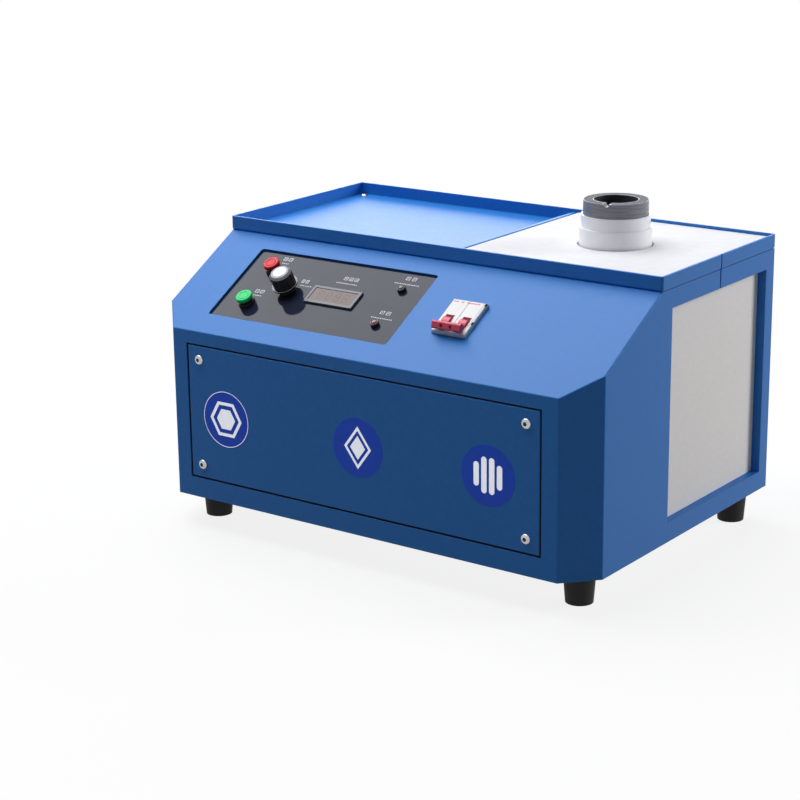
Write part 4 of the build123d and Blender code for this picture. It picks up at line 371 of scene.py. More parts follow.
# Painted shade: near-black finish for the band that darkens the gap round the front panel.
PANEL_GAP_SHADE = Finish(
    "panel_gap_painted_shade", "rubber_black", srgb(8, 14, 26), srgb(12, 18, 30), 0.8, 0, Pattern.CLOUD,
    0.004, 0.001, 0.2, specular=0.1,
)
PRINT_RED = Finish(
    "print_red", "plastic_red", srgb(206, 90, 112), srgb(214, 104, 124), 0.5, 0, Pattern.CLOUD, 0.004, 0.001, 0.08,
)
PRINT_GREY = Finish(
    "print_grey", "plastic_grey", srgb(120, 124, 134), srgb(132, 136, 146), 0.5, 0, Pattern.CLOUD, 0.004, 0.001, 0.08,
)

NODE_FINISHES: dict[Finish, tuple[str, ...]] = {
    BLUE_POWDER: ("cabinet_shell", "rear_panel", "front_panel", "top_tray", "tray_divider"),
    ZINC: ("base_plate", "breaker_rail", "breaker_bracket", "toroid_clamp"),
    SCREW_STEEL: ("rear_screws", "front_panel_screws", "foot_screws", "tray_screws", "fan_screws"),
    RUBBER: ("rubber_feet",),
    WHITE_BOARD: ("top_board", "fibre_pad"),
    GREY_BOARD: ("side_board", "partition_board"),
    BRICK: ("furnace_bricks",),
    CERAMIC: ("furnace_lining", "crucible_cup"),
    GRAPHITE: ("crucible",),
    COPPER: ("induction_coil", "coil_leads", "clamp_plates"),
    BRASS: ("water_inlet", "water_outlet", "earth_stud", "board_standoffs"),
    GLOSS_PLATE: ("control_plate",),
    BLACK_PLASTIC: (
        "cable_gland", "fan_frame", "fan_rotor", "power_knob", "push_switches", "start_plunger", "stop_plunger",
        "power_modules", "power_meter", "lamp_bezels",
    ),
    SATIN_BLACK: ("knob_ring",),
    CAP_GREY: ("knob_cap",),
    GREY_PLASTIC: ("resonant_capacitor", "potentiometer"),
    WHITE_PLASTIC: ("breaker_body",),
    GREEN_PLASTIC: ("start_button",),
    RED_PLASTIC: ("stop_button",),
    TOGGLE_RED: ("breaker_toggle",),
    SMOKED_LENS: ("meter_lens",),
    DARK_LENS: ("water_lens",),
    LIT_LENS: ("heat_lens",),
    CHROME: ("fan_guard",),
    ALUMINIUM: ("pot_shaft", "heat_sink"),
    CIRCUIT: ("control_board", "inverter_board"),
    CAN_SLEEVE: ("reservoir_capacitors",),
    WINDING: ("matching_toroid",),
}


# ---------------------------------------------------------------- shapes


@dataclass(frozen=True)
class Face:
    """A flat place on the machine: an origin, two directions in the face, and its normal."""

    origin: Vector
    right: Vector
    up: Vector

    @property
    def normal(self) -> Vector:
        """Direction out of the face."""
        return self.right.cross(self.up).normalized()

    def at(self, across: float, along: float, out: float = 0.0) -> Vector:
        """The point that lies so far across, along and out of the face."""
        return self.origin + self.right * across + self.up * along + self.normal * out

    def matrix(self, across: float = 0.0, along: float = 0.0, out: float = 0.0) -> Matrix:
        """Placement whose X, Y and Z are right, up and out, at a point of the face."""
        turn = Matrix((self.right, self.up, self.normal)).transposed().to_4x4()
        turn.translation = self.at(across, along, out)
        return turn

    def seen(self, point: Vector) -> Vector:
        """How far across, along and out of the face a point lies."""
        away = point - self.origin
        return Vector((away.dot(self.right), away.dot(self.up), away.dot(self.normal)))

    def spans(self, node: str) -> list[tuple[Vector, Vector]]:
        """Boxes of a fixed node's separate solids, in the face's own directions.

        Args:
            node: the node's name.

        Returns:
            The low and high corner of each loose part, from left to right and from low to high.
        """
        mesh = bmesh.new()
        mesh.from_mesh(frame["nodes"][node].data)
        bmesh.ops.remove_doubles(mesh, verts=mesh.verts, dist=1e-6)
        left, boxes = set(mesh.verts), []
        while left:
            group, edge_of = [], [left.pop()]
            while edge_of:
                vert = edge_of.pop()
                group.append(self.seen(vert.co))
                for edge in vert.link_edges:
                    other = edge.other_vert(vert)
                    if other in left:
                        left.discard(other)
                        edge_of.append(other)
            low = Vector(min(p[i] for p in group) for i in range(3))
            high = Vector(max(p[i] for p in group) for i in range(3))
            boxes.append((low, high))
        mesh.free()
        return sorted(boxes, key=lambda box: (round(box[0].x, 4), round(box[0].y, 4)))


def link_piece(name: str, mesh: bmesh.types.BMesh, finish: Finish, body: str, smooth: float = 30.0):
    """Turns a bmesh into a dressed piece that rides on a body.

    Args:
        name: the piece's name.
        mesh: the shape, in the machine's frame; it is freed.
        finish: what it is dressed in.
        body: the body that it rides on.
        smooth: angle under which neighbouring faces are shaded as one, in degrees.

    Returns:
        The new object.
    """
    bmesh.ops.recalc_face_normals(mesh, faces=mesh.faces)
    data = bpy.data.meshes.new(name)
    for face in mesh.faces:
        face.smooth = True
    for edge in mesh.edges:
        edge.smooth = len(edge.link_faces) == 2 and edge.calc_face_angle(math.pi) < math.radians(smooth)
    mesh.to_mesh(data)
    mesh.free()
    piece = bpy.data.objects.new(name, data)
    bpy.context.scene.collection.objects.link(piece)
    data.materials.append(finish.material())
    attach(piece, body)
    LOG.info("piece %s rides on %s", name, body)
    return piece


def circle(radius: float, count: int = 64, middle: Point2 = (0.0, 0.0)) -> Outline:
    """Points of a circle, anticlockwise."""
    turns = (2 * math.pi * i / count for i in range(count))
    return [(middle[0] + radius * math.cos(turn), middle[1] + radius * math.sin(turn)) for turn in turns]


def polygon(sides: int, radius: float, count: int, turn: float = 0.0) -> Outline:
    """Outline of a regular polygon with as many points as a circle, so that the two can be joined.

    Args:
        sides: how many sides.
        radius: distance of its corners.
        count: number of points.
        turn: angle of its first corner, in radians.

    Returns:
        The points, anticlockwise.
    """
    wedge = 2 * math.pi / sides
    points = []
    for i in range(count):
        angle = 2 * math.pi * i / count
        off = (angle - turn) % wedge - wedge / 2
        reach = radius * math.cos(wedge / 2) / math.cos(off)
        points.append((reach * math.cos(angle), reach * math.sin(angle)))
    return points


def cross(arm: float, half_width: float, count: int) -> Outline:
    """Outline of an upright cross with as many points as a circle."""
    points = []
    for i in range(count):
        angle = 2 * math.pi * (i + 0.5) / count
        off = abs((angle + math.pi / 4) % (math.pi / 2) - math.pi / 4)
        reach = min(arm / math.cos(off), half_width / max(math.sin(off), 1e-6))
        points.append((reach * math.cos(angle), reach * math.sin(angle)))
    return points


def rounded_bar(width: float, height: float, radius: float, middle: Point2 = (0.0, 0.0), steps: int = 6) -> Outline:
    """Outline of a rectangle with rounded corners, anticlockwise."""
    points = []
    for corner, (sx, sy) in enumerate(((1, 1), (-1, 1), (-1, -1), (1, -1))):
        cx, cy = middle[0] + sx * (width / 2 - radius), middle[1] + sy * (height / 2 - radius)
        for i in range(steps + 1):
            turn = math.pi / 2 * (corner + i / steps)
            points.append((cx + radius * math.cos(turn), cy + radius * math.sin(turn)))
    return points


def add_stack(mesh: bmesh.types.BMesh, rings: Sequence[tuple[Outline, float]], place: Matrix, closed: bool = False) -> None:
    """Adds a skin over a stack of outlines that all have as many points.

    Args:
        mesh: what it is added to.
        rings: each outline with its height over the place.
        place: where the stack stands.
        closed: joins the last outline to the first one, where otherwise both ends get a cap.
    """
    add_skin(mesh, [[place @ Vector((x, y, height)) for x, y in outline] for outline, height in rings], closed)


def add_skin(mesh: bmesh.types.BMesh, lines: Sequence[Sequence[Vector]], closed: bool) -> None:
    """Adds a skin over closed lines of points, capped at both ends or joined round."""
    loops = [[mesh.verts.new(point) for point in line] for line in lines]
    for low, high in zip(loops, loops[1:] + (loops[:1] if closed else [])):
        for i in range(len(low)):
            mesh.faces.new((low[i - 1], low[i], high[i], high[i - 1]))
    if not closed:
        mesh.faces.new(list(reversed(loops[0])))
        mesh.faces.new(loops[-1])


def add_prism(mesh: bmesh.types.BMesh, outline: Outline, place: Matrix, depth: float) -> None:
    """Adds a prism on an outline."""
    add_stack(mesh, [(outline, 0.0), (outline, depth)], place)


def add_band(mesh: bmesh.types.BMesh, outer: Outline, inner: Outline, place: Matrix, depth: float) -> None:
    """Adds a flat band between two outlines with as many points."""
    add_stack(mesh, [(outer, 0.0), (outer, depth), (inner, depth), (inner, 0.0)], place, closed=True)


def add_turned(mesh: bmesh.types.BMesh, profile: Sequence[Point2], place: Matrix, closed: bool = False) -> None:
    """Adds a turned shape from a profile of (radius, height) points."""
    add_stack(mesh, [(circle(radius), height) for radius, height in profile], place, closed)


def add_hoop(mesh: bmesh.types.BMesh, radius: float, height: float, wire: float, place: Matrix) -> None:
    """Adds a hoop of round wire that lies flat, so high over the place."""
    add_turned(mesh, [(radius + x, height + y) for x, y in circle(wire, 12)], place, closed=True)


def add_arc(mesh: bmesh.types.BMesh, section: Outline, start: float, end: float, place: Matrix) -> None:
    """Sweeps a section of (radius, height) points about the place's axis, between two angles in radians."""
    steps = 90
    lines = []
    for i in range(steps + 1):
        turn = Matrix.Rotation(start + (end - start) * i / steps, 4, "Z")
        lines.append([place @ turn @ Vector((radius, 0, height)) for radius, height in section])
    add_skin(mesh, lines, False)


def add_rod(mesh: bmesh.types.BMesh, start: Vector, end: Vector, radius: float) -> None:
    """Adds a round rod between two points."""
    along = end - start
    place = along.to_track_quat("Z", "Y").to_matrix().to_4x4()
    place.translation = start
    outline = circle(radius, 12)
    add_stack(mesh, [(outline, 0.0), (outline, along.length)], place)


# ---------------------------------------------------------------- places


def joint(name: str) -> dict:
    """The record's joint of that name."""
    return next(j for j in frame["joints"] if j["name"] == name)


def control_face() -> Face:
    """The control plate's front, with its origin on the knob's axis."""
    turn = joint("knob_turn")
    outward = -Vector(turn["axis"])
    right = Vector((1, 0, 0))
    return Face(Vector(turn["pos_m"]), right, outward.cross(right))


def outer_face(node: str, right: Sequence[float], up: Sequence[float]) -> Face:
    """The outermost face of an upright or level node, with its origin at the middle.

    Args:
        node: the node's name.
        right: direction to the right in the face.
        up: direction up in the face.

    Returns:
        The face.
    """
    low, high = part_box(node)
    middle, half = (low + high) / 2, (high - low) / 2
    flat = Face(middle, Vector(right), Vector(up))
    return Face(middle + flat.normal * abs(half.dot(flat.normal)), flat.right, flat.up)


# ---------------------------------------------------------------- screws


class Drive(Enum):
    """The recess that a screw is turned by."""

    HEX = "hex"
    CROSS = "cross"


@dataclass(frozen=True)
class ScrewSet:
    """The alike screws of one fixed node.

    Attributes:
        node: the node that they stand for.
        drive: their recess.
        head: radius of the head.
        height: height of the head.
        right: direction to the right, seen from outside.
        up: direction up, seen from outside.
    """

    node: str
    drive: Drive
    head: float
    height: float
    right: tuple[float, float, float]
    up: tuple[float, float, float]
    dome: tuple[Point2, ...] = ((1.0, 0.0), (1.0, 0.3), (0.95, 0.5), (0.84, 0.7), (0.66, 0.88), (0.46, 0.98))

    def build(self) -> None:
        """Builds the screws as one piece in place of the node, and a second piece that paints the shade in their
        recesses.
        """
        face = outer_face(self.node, self.right, self.up)
        mesh, socket_shade = bmesh.new(), bmesh.new()
        count = 72
        if self.drive is Drive.HEX:
            recess = polygon(6, self.head * 0.42, count)
        else:
            recess = cross(self.head * 0.44, self.head * 0.11, count)
        for low, high in face.spans(self.node):
            place = face.matrix((low.x + high.x) / 2, (low.y + high.y) / 2, high.z - self.height)
            shank = circle(self.head * 0.5, count)
            rings = [(shank, low.z - high.z + self.height), (shank, 0.0)]
            rings += [(circle(self.head * wide, count), self.height * tall) for wide, tall in self.dome]
            rings += [(recess, self.height * 0.98), (recess, self.height * 0.2)]
            add_stack(mesh, rings, place)
            # a dark prism near the recess bottom paints the shade in it
            floor = place @ Matrix.Translation((0, 0, self.height * 0.2))
            add_prism(socket_shade, [(x * 0.97, y * 0.97) for x, y in recess], floor, self.height * 0.3)
        link_piece(f"{self.node}_sockets", socket_shade, SCREW_RECESS_SHADE, "cabinet", 40)
        piece = link_piece(f"{self.node}_heads", mesh, SCREW_STEEL, "cabinet", 40)
        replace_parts(piece, self.node)


# ---------------------------------------------------------------- the machine's sub-assemblies


@dataclass
class Cabinet:
    """Folded cabinet: the stickers on its front panel, the painted shade in the gap round that panel, and its screws.
    """

    sticker_radius: float = 27.5 * MM
    sticker_thickness: float = 0.15 * MM
    print_thickness: float = 0.05 * MM
    ring_width: float = 0.6 * MM
    sticker_places: tuple[Point2, ...] = ((-0.151, -0.002), (0.003, -0.002), (0.1427, -0.002))
    # width and depth of the band of painted shade in the gap round the front panel
    gap_shade_width: float = 1.7 * MM
    gap_shade_sunk: float = 0.7 * MM
    screws: tuple[ScrewSet, ...] = (
        ScrewSet("front_panel_screws", Drive.HEX, 4.75 * MM, 2.6 * MM, (1, 0, 0), (0, 0, 1)),
        ScrewSet("tray_screws", Drive.CROSS, 3.9 * MM, 2.2 * MM, (1, 0, 0), (0, 1, 0)),
        ScrewSet("rear_screws", Drive.CROSS, 4.0 * MM, 2.4 * MM, (-1, 0, 0), (0, 0, 1)),
        ScrewSet("fan_screws", Drive.CROSS, 4.0 * MM, 2.4 * MM, (-1, 0, 0), (0, 0, 1)),
    )

    def build(self) -> None:
        """Builds the pieces that dress the cabinet."""
        face = outer_face("front_panel", (1, 0, 0), (0, 0, 1))
        motifs = (self._hexagons, self._diamonds, self._capsules)
        for name, (x, z), motif in zip(("left", "middle", "right"), self.sticker_places, motifs):
            self._sticker(name, face, x, z, motif)
        # paints the shade in the gap round the front panel
        self._paint_gap_shade(face)
        for screws in self.screws:
            screws.build()

    def _paint_gap_shade(self, face: Face) -> None:
        """A dark band sunk at the bottom of the gap round the front panel: painted shade where the gap's shadow falls.
        """
        low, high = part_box("front_panel")
        wide, tall = high.x - low.x, high.z - low.z
        mesh = bmesh.new()
        inner = rounded_bar(wide, tall, 0.5 * MM, steps=2)
        outer = rounded_bar(wide + 2 * self.gap_shade_width, tall + 2 * self.gap_shade_width, 0.5 * MM, steps=2)
        add_band(mesh, outer, inner, face.matrix(out=-2 * self.gap_shade_sunk), self.gap_shade_sunk)
        link_piece("front_panel_gap_shade", mesh, PANEL_GAP_SHADE, "cabinet")

    def _sticker(self, name: str, face: Face, x: float, z: float, motif: Callable) -> None:
        """A round sticker with a plain motif; the left one has a white ring near its edge."""
        base = bmesh.new()
        add_prism(base, circle(self.sticker_radius, 96), face.matrix(x, z), self.sticker_thickness)
        link_piece(f"sticker_{name}", base, STICKER_BLUE, "cabinet")
        printed = bmesh.new()
        top = face.matrix(x, z, self.sticker_thickness)
        if name == "left":
            ring = self.sticker_radius - self.ring_width
            add_band(printed, circle(ring, 96), circle(ring - self.ring_width, 96), top, self.print_thickness)
        motif(printed, top)
        link_piece(f"sticker_{name}_print", printed, PRINT_WHITE, "cabinet")

    def _hexagons(self, mesh: bmesh.types.BMesh, place: Matrix) -> None:
        """Motif: a hexagon outline round a filled hexagon."""
        lift = self.print_thickness
        add_band(mesh, circle(19 * MM, 6), circle(15.5 * MM, 6), place, lift)
        add_prism(mesh, circle(11 * MM, 6), place, lift)

    def _diamonds(self, mesh: bmesh.types.BMesh, place: Matrix) -> None:
        """Motif: a tall diamond outline round a filled diamond."""
        lift = self.print_thickness
        tall, wide = 20 * MM, 15 * MM
        outer, inner, core = (
            [(wide * part, 0), (0, tall * part), (-wide * part, 0), (0, -tall * part)] for part in (1.0, 0.8, 0.56)
        )
        add_band(mesh, outer, inner, place, lift)
        add_prism(mesh, core, place, lift)

    def _capsules(self, mesh: bmesh.types.BMesh, place: Matrix) -> None:
        """Motif: a row of upright capsules of uneven length."""
        lift = self.print_thickness
        for i, height in enumerate((22, 33, 33, 22)):
            x = (i - 1.5) * 8.0 * MM
            add_prism(mesh, rounded_bar(5.6 * MM, height * MM, 2.8 * MM, (x, 0)), place, lift)


@dataclass(frozen=True)
class Label:
    """A plain two-row label on the plate: a row of blocks over a fine broken bar.

    Attributes:
        blocks_at: middle of the row of blocks, across and along, in millimetres.
        blocks_wide: width of that row.
        bar_at: middle of the bar.
        bar_wide: width of the bar.
        blocks: how many blocks.
    """

    blocks_at: Point2
    blocks_wide: float
    bar_at: Point2
    bar_wide: float
    blocks: int = 2


@dataclass
class Controls:
    """What the control plate carries: its print, the knob, the buttons, the meter and the lamps."""

    print_thickness: float = 0.05 * MM
    block_height: float = 4.4 * MM
    block_line: float = 0.6 * MM
    bar_height: float = 1.1 * MM
    labels: tuple[Label, ...] = (
        Label((-26.5, 40.0), 12.0, (-26.4, 34.1), 7.0),
        Label((-28.9, -6.8), 12.0, (-28.4, -12.4), 9.4),
        Label((10.9, 15.2), 9.5, (14.7, 9.4), 14.0),
        Label((57.3, 27.1), 18.0, (55.8, 20.6), 24.0, 3),
        Label((118.2, 39.4), 13.7, (117.3, 31.7), 28.0),
        Label((118.5, -7.7), 13.7, (118.6, -15.1), 24.0),
    )
    disc_radius: float = 6.5 * MM
    disc_thickness: float = 0.25 * MM
    pointer_angle: float = math.radians(236)
    pointer_size: Point2 = (2.4 * MM, 1.3 * MM)
    dish_radius: float = 5.2 * MM
    dish_height: float = 0.25 * MM
    rim_wire: float = 0.22 * MM
    segment_length: float = 3.9 * MM
    segment_width: float = 0.8 * MM
    digit_pitch: float = 9.6 * MM

    def build(self) -> None:
        """Builds the pieces that dress the control plate."""
        face = control_face()
        marks = bmesh.new()
        for label in self.labels:
            self._label(marks, face, label)
        link_piece("plate_print", marks, PLATE_PRINT, "cabinet")
        self._knob(face)
        for name, finish in (("start", GREEN_PLASTIC), ("stop", RED_PLASTIC)):
            self._button(face, name, finish)
        self._meter(face)
        self._lamps(face)

    def _label(self, mesh: bmesh.types.BMesh, face: Face, label: Label) -> None:
        """A row of framed blocks with a bar in each, over a broken bar."""
        lift = self.print_thickness
        pitch = label.blocks_wide * MM / label.blocks
        wide = min(pitch - 3 * self.block_line, self.block_height)
        for i in range(label.blocks):
            x = label.blocks_at[0] * MM + (i - (label.blocks - 1) / 2) * pitch
            place = face.matrix(x, label.blocks_at[1] * MM)
            outer = rounded_bar(wide, self.block_height, 0.2 * MM, steps=2)
            inner = rounded_bar(wide - 2 * self.block_line, self.block_height - 2 * self.block_line, 0.1 * MM, steps=2)
            add_band(mesh, outer, inner, place, lift)
            add_prism(mesh, rounded_bar(wide * 0.4, self.block_line, 0.1 * MM, steps=2), place, lift)
        dash = 2.0 * MM
        count = max(2, round(label.bar_wide * MM / dash))
        for i in range(count):
            x = label.bar_at[0] * MM + (i - (count - 1) / 2) * dash
            place = face.matrix(x, label.bar_at[1] * MM)
            add_prism(mesh, rounded_bar(dash * 0.62, self.bar_height, 0.2 * MM, steps=2), place, lift)

    def _knob(self, face: Face) -> None:
        """White disc and pointer mark on the knob's cap, and grey hoops round its skirt that paint the highlights on
        its edges.
        """
        top = face.spans("knob_cap")[0][1].z
        skirt = face.spans("knob_ring")[0][1]
        disc = bmesh.new()
        profile = ((0, 0), (0, 0.6), (0.25, 1.0))
        add_turned(
            disc,
            [(self.disc_radius - inset * MM, self.disc_thickness * tall) for inset, tall in profile],
            face.matrix(out=top),
        )
        link_piece("knob_disc", disc, GLOSS_WHITE, "knob")
        pointer = bmesh.new()
        turn = Matrix.Rotation(self.pointer_angle, 4, "Z")
        place = face.matrix(out=top - 0.9 * MM) @ turn @ Matrix.Translation((self.disc_radius + 2.1 * MM, 0, 0))
        place = place @ Matrix.Rotation(math.radians(38), 4, "Y")
        add_prism(pointer, rounded_bar(*self.pointer_size, 0.3 * MM), place, 0.5 * MM)
        link_piece("knob_pointer", pointer, PRINT_WHITE, "knob")
        # two grey hoops paint the highlights on the skirt's edges
        hoops = bmesh.new()
        add_hoop(hoops, skirt.x - self.rim_wire / 2, skirt.z, self.rim_wire, face.matrix())
        add_hoop(hoops, skirt.x * 0.8, skirt.z - 2.6 * MM, 1.4 * self.rim_wire, face.matrix())
        link_piece("knob_hoops", hoops, HOOP_HIGHLIGHT_GREY, "knob", 60)

    def _button(self, face: Face, name: str, finish: Finish) -> None:
        """A moulded ring on a button's cap."""
        low, high = face.spans(f"{name}_button")[0]
        ring = bmesh.new()
        place = face.matrix((low.x + high.x) / 2, (low.y + high.y) / 2, high.z)
        inner = self.dish_radius - 0.9 * MM
        add_band(ring, circle(self.dish_radius), circle(inner), place, self.dish_height)
        link_piece(f"{name}_button_ring", ring, finish, name)

    def _meter(self, face: Face) -> None:
        """Grey trim on the meter's frame, and four seven-segment digits behind its window."""
        low, high = face.spans("power_meter")[0]
        middle, size = (low + high) / 2, high - low
        window_low, window_high = face.spans("meter_lens")[0]
        window = window_high - window_low
        trim = bmesh.new()
        place = face.matrix(middle.x, middle.y, high.z)
        outer = rounded_bar(size.x - 0.5 * MM, size.y - 0.5 * MM, 0.8 * MM)
        inner = rounded_bar(window.x + 0.4 * MM, window.y + 0.4 * MM, 0.4 * MM)
        add_band(trim, outer, inner, place, 0.15 * MM)
        link_piece("meter_trim", trim, METER_FRAME, "cabinet")
        digits = bmesh.new()
        place = face.matrix(middle.x, middle.y, window_high.z)
        half = self.segment_length / 2 + self.segment_width * 0.6
        for i in range(4):
            x = (i - 1.5) * self.digit_pitch
            for level in (-1, 0, 1):
                bar = rounded_bar(self.segment_length, self.segment_width, 0.3 * MM, (x, level * 2 * half), 2)
                add_prism(digits, bar, place, self.print_thickness)
            for side, level in ((-1, -1), (1, -1), (-1, 1), (1, 1)):
                bar = rounded_bar(self.segment_width, self.segment_length, 0.3 * MM, (x + side * half, level * half), 2)
                add_prism(digits, bar, place, self.print_thickness)
        link_piece("meter_digits", digits, DIM_SEGMENT, "cabinet")

    def _lamps(self, face: Face) -> None:
        """Domed lenses in place of the flat ones, and a bright rim round each lamp."""
        rims = bmesh.new()
        for low, high in face.spans("lamp_bezels"):
            place = face.matrix((low.x + high.x) / 2, (low.y + high.y) / 2)
            add_hoop(rims, (high.x - low.x) / 2 - 0.6 * MM, high.z, self.rim_wire, place)
        link_piece("lamp_rims", rims, CAP_GREY, "cabinet", 60)
        for node, finish in (("water_lens", DARK_LENS), ("heat_lens", LIT_LENS)):
            low, high = face.spans(node)[0]
            place = face.matrix((low.x + high.x) / 2, (low.y + high.y) / 2)
            radius = (high.x - low.x) / 2
            rise = 1.2 * MM
            steps = [math.radians(90 * i / 8) for i in range(8)]
            profile = [(radius, low.z)]
            profile += [(radius * math.cos(a), high.z - rise + rise * math.sin(a)) for a in steps]
            dome = bmesh.new()
            add_turned(dome, profile, place)
            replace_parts(link_piece(f"{node}_dome", dome, finish, "cabinet", 40), node)


@dataclass
class Breaker:
    """Print and fine lines on the circuit breaker's nose, and painted shade in its two notch recesses."""

    across: float = 198.0 * MM
    along: float = -2.6 * MM
    width: float = 36.0 * MM
    length: float = 42.0 * MM
    lift: float = 0.05 * MM
    row_drop: float = 3.2 * MM
    row_height: float = 1.5 * MM
    seam_at: float = 0.93
    notch: Point2 = (2.2 * MM, 3.2 * MM)

    def build(self) -> None:
        """Builds the print, the seam line, and two dark marks that paint the shade in the notch recesses."""
        face = control_face()
        top = face.spans("breaker_body")[0][1].z
        row = self.along + self.length / 2 - self.row_drop
        for name, finish, spans in (
            ("breaker_print", PRINT_RED, ((0.06, 0.20), (0.45, 0.83))),
            ("breaker_small_print", PRINT_GREY, ((0.28, 0.36),)),
        ):
            marks = bmesh.new()
            for start, end in spans:
                self._dashes(marks, face, row, top, start, end)
            link_piece(name, marks, finish, "cabinet")
        lines = bmesh.new()
        place = face.matrix(self._across(self.seam_at), self.along, top)
        add_prism(lines, rounded_bar(0.35 * MM, self.length - 2 * MM, 0.1 * MM), place, self.lift)
        link_piece("breaker_seam", lines, PRINT_GREY, "cabinet")
        # two flat dark marks paint the shade in the notch recesses at the nose's edge
        painted_notch_shade = bmesh.new()
        for rise in (self.length / 2 - 2.6 * MM, -self.length * 0.14):
            place = face.matrix(self._across(0.985), self.along + rise, top)
            add_prism(painted_notch_shade, rounded_bar(self.notch[0], self.notch[1], 0.5 * MM), place, self.lift)
        link_piece("breaker_notches", painted_notch_shade, NOTCH_SHADE, "cabinet")

    def _across(self, share: float) -> float:
        """How far across the face a share of the nose's width lies."""
        return self.across + (share - 0.5) * self.width

    def _dashes(self, mesh: bmesh.types.BMesh, face: Face, row: float, top: float, start: float, end: float) -> None:
        """A broken bar between two shares of the nose's width."""
        count = max(2, round((end - start) * self.width / (1.5 * MM)))
        pitch = (end - start) * self.width / count
        for i in range(count):
            place = face.matrix(self._across(start) + (i + 0.5) * pitch, row, top)
            add_prism(mesh, rounded_bar(pitch * 0.8, self.row_height, 0.2 * MM, steps=2), place, self.lift)


@dataclass
class Furnace:
    """Painted light on the graphite crucible: a darker face on its top that paints shade there, a bright inner lip that
    paints a highlight, and a dark skin in its bore that paints the bore's shade.
    """

    notch_angle: float = math.radians(-77)
    notch_reach: float = math.radians(7.6)
    face_radii: Point2 = (21.3 * MM, 29.3 * MM)
    face_lift: float = 0.04 * MM
    lip_wire: float = 0.3 * MM
    bore_radii: Point2 = (20.2 * MM, 20.42 * MM)
    bore_span: Point2 = (-92.0 * MM, -0.6 * MM)

    def build(self) -> None:
        """Builds the rings on the crucible's top and the skin in its bore, open at its pouring notch."""
        low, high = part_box("crucible")
        middle = (low + high) / 2
        place = Matrix.Translation((middle.x, middle.y, high.z))
        start, end = self.notch_angle + self.notch_reach, self.notch_angle - self.notch_reach + 2 * math.pi
        inner, outer = self.face_radii
        # painted shade: a darker skin on the crucible's top face
        face = bmesh.new()
        add_arc(face, [(inner, 0), (outer, 0), (outer, self.face_lift), (inner, self.face_lift)], start, end, place)
        link_piece("crucible_face", face, GRAPHITE_TOP_SHADE, "crucible")
        # painted highlight: a light wire along the inner edge of the top face
        lip = bmesh.new()
        section = circle(self.lip_wire, 10, (inner - 0.5 * MM, -self.lip_wire / 2))
        add_arc(lip, section, start, end, place)
        link_piece("crucible_lip", lip, GRAPHITE_LIP_HIGHLIGHT, "crucible", 60)
        # painted shade: a dark skin inside the bore
        bore = bmesh.new()
        near, far = self.bore_radii
        bottom, top = self.bore_span
        add_arc(bore, [(near, bottom), (far, bottom), (far, top), (near, top)], start, end, place)
        link_piece("crucible_bore", bore, GRAPHITE_BORE_SHADE, "crucible")


@dataclass
class RearFittings:
    """What stands behind: the fan's round-wire guard, the hose barbs and the gland's ribs."""

    wire: float = 1.0 * MM
    ring_radii: tuple[float, ...] = (14 * MM, 27 * MM, 40 * MM, 53 * MM)
    eye_radius: float = 3.4 * MM
    barb_rise: float = 0.7 * MM
    barb_pitch: float = 4.5 * MM
    barbs: int = 4
    ribs: int = 18

    def build(self) -> None:
        """Builds the pieces that dress the rear."""
        face = outer_face("rear_panel", (-1, 0, 0), (0, 0, 1))
        self._guard(face)
        for name in ("water_inlet", "water_outlet"):
            self._barbs(face, name)
        self._gland(face)

    def _guard(self, face: Face) -> None:
        """Four hoops on two diagonal wires that end in eyes."""
        low, high = face.spans("fan_guard")[0]
        middle = (low + high) / 2
        place = face.matrix(middle.x, middle.y, high.z - self.wire)
        mesh = bmesh.new()
        for radius in self.ring_radii:
            add_hoop(mesh, radius, 0.0, self.wire, place)
        corner = (high.x - low.x) / 2 - self.eye_radius - self.wire
        for sx, sy in ((1, 1), (1, -1), (-1, 1), (-1, -1)):
            eye = place @ Matrix.Translation((sx * corner, sy * corner, 0))
            add_hoop(mesh, self.eye_radius, 0.0, self.wire, eye)
            reach = 1 - self.eye_radius / (corner * math.sqrt(2))
            add_rod(mesh, place @ Vector((0, 0, 0)), place @ Vector((sx * corner * reach, sy * corner * reach, 0)), self.wire)
        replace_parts(link_piece("fan_guard_wires", mesh, CHROME, "cabinet", 60), "fan_guard")

    def _barbs(self, face: Face, node: str) -> None:
        """Saw-tooth barbs round a hose spigot."""
        low, high = face.spans(node)[0]
        place = face.matrix((low.x + high.x) / 2, (low.y + high.y) / 2)
        inside, outside = 4.6 * MM, 5.0 * MM + self.barb_rise
        mesh = bmesh.new()
        for i in range(self.barbs):
            base = high.z - 2.2 * MM - (i + 1) * self.barb_pitch
            profile = [(inside, base), (outside, base), (outside, base + 0.5 * MM), (inside, base + self.barb_pitch * 0.9)]
            add_turned(mesh, profile, place, closed=True)
        link_piece(f"{node}_barbs", mesh, BRASS, "cabinet")

    def _gland(self, face: Face) -> None:
        """Grip ribs round the gland's dome nut."""
        low, high = face.spans("cable_gland")[0]
        middle = (low + high) / 2
        mesh = bmesh.new()
        for i in range(self.ribs):
            turn = 2 * math.pi * i / self.ribs
            spot = (middle.x + 10.9 * MM * math.cos(turn), middle.y + 10.9 * MM * math.sin(turn))
            add_prism(mesh, circle(0.6 * MM, 12), face.matrix(*spot, high.z - 13 * MM), 8 * MM)
        link_piece("cable_gland_ribs", mesh, BLACK_PLASTIC, "cabinet", 60)


# ---------------------------------------------------------------- studio


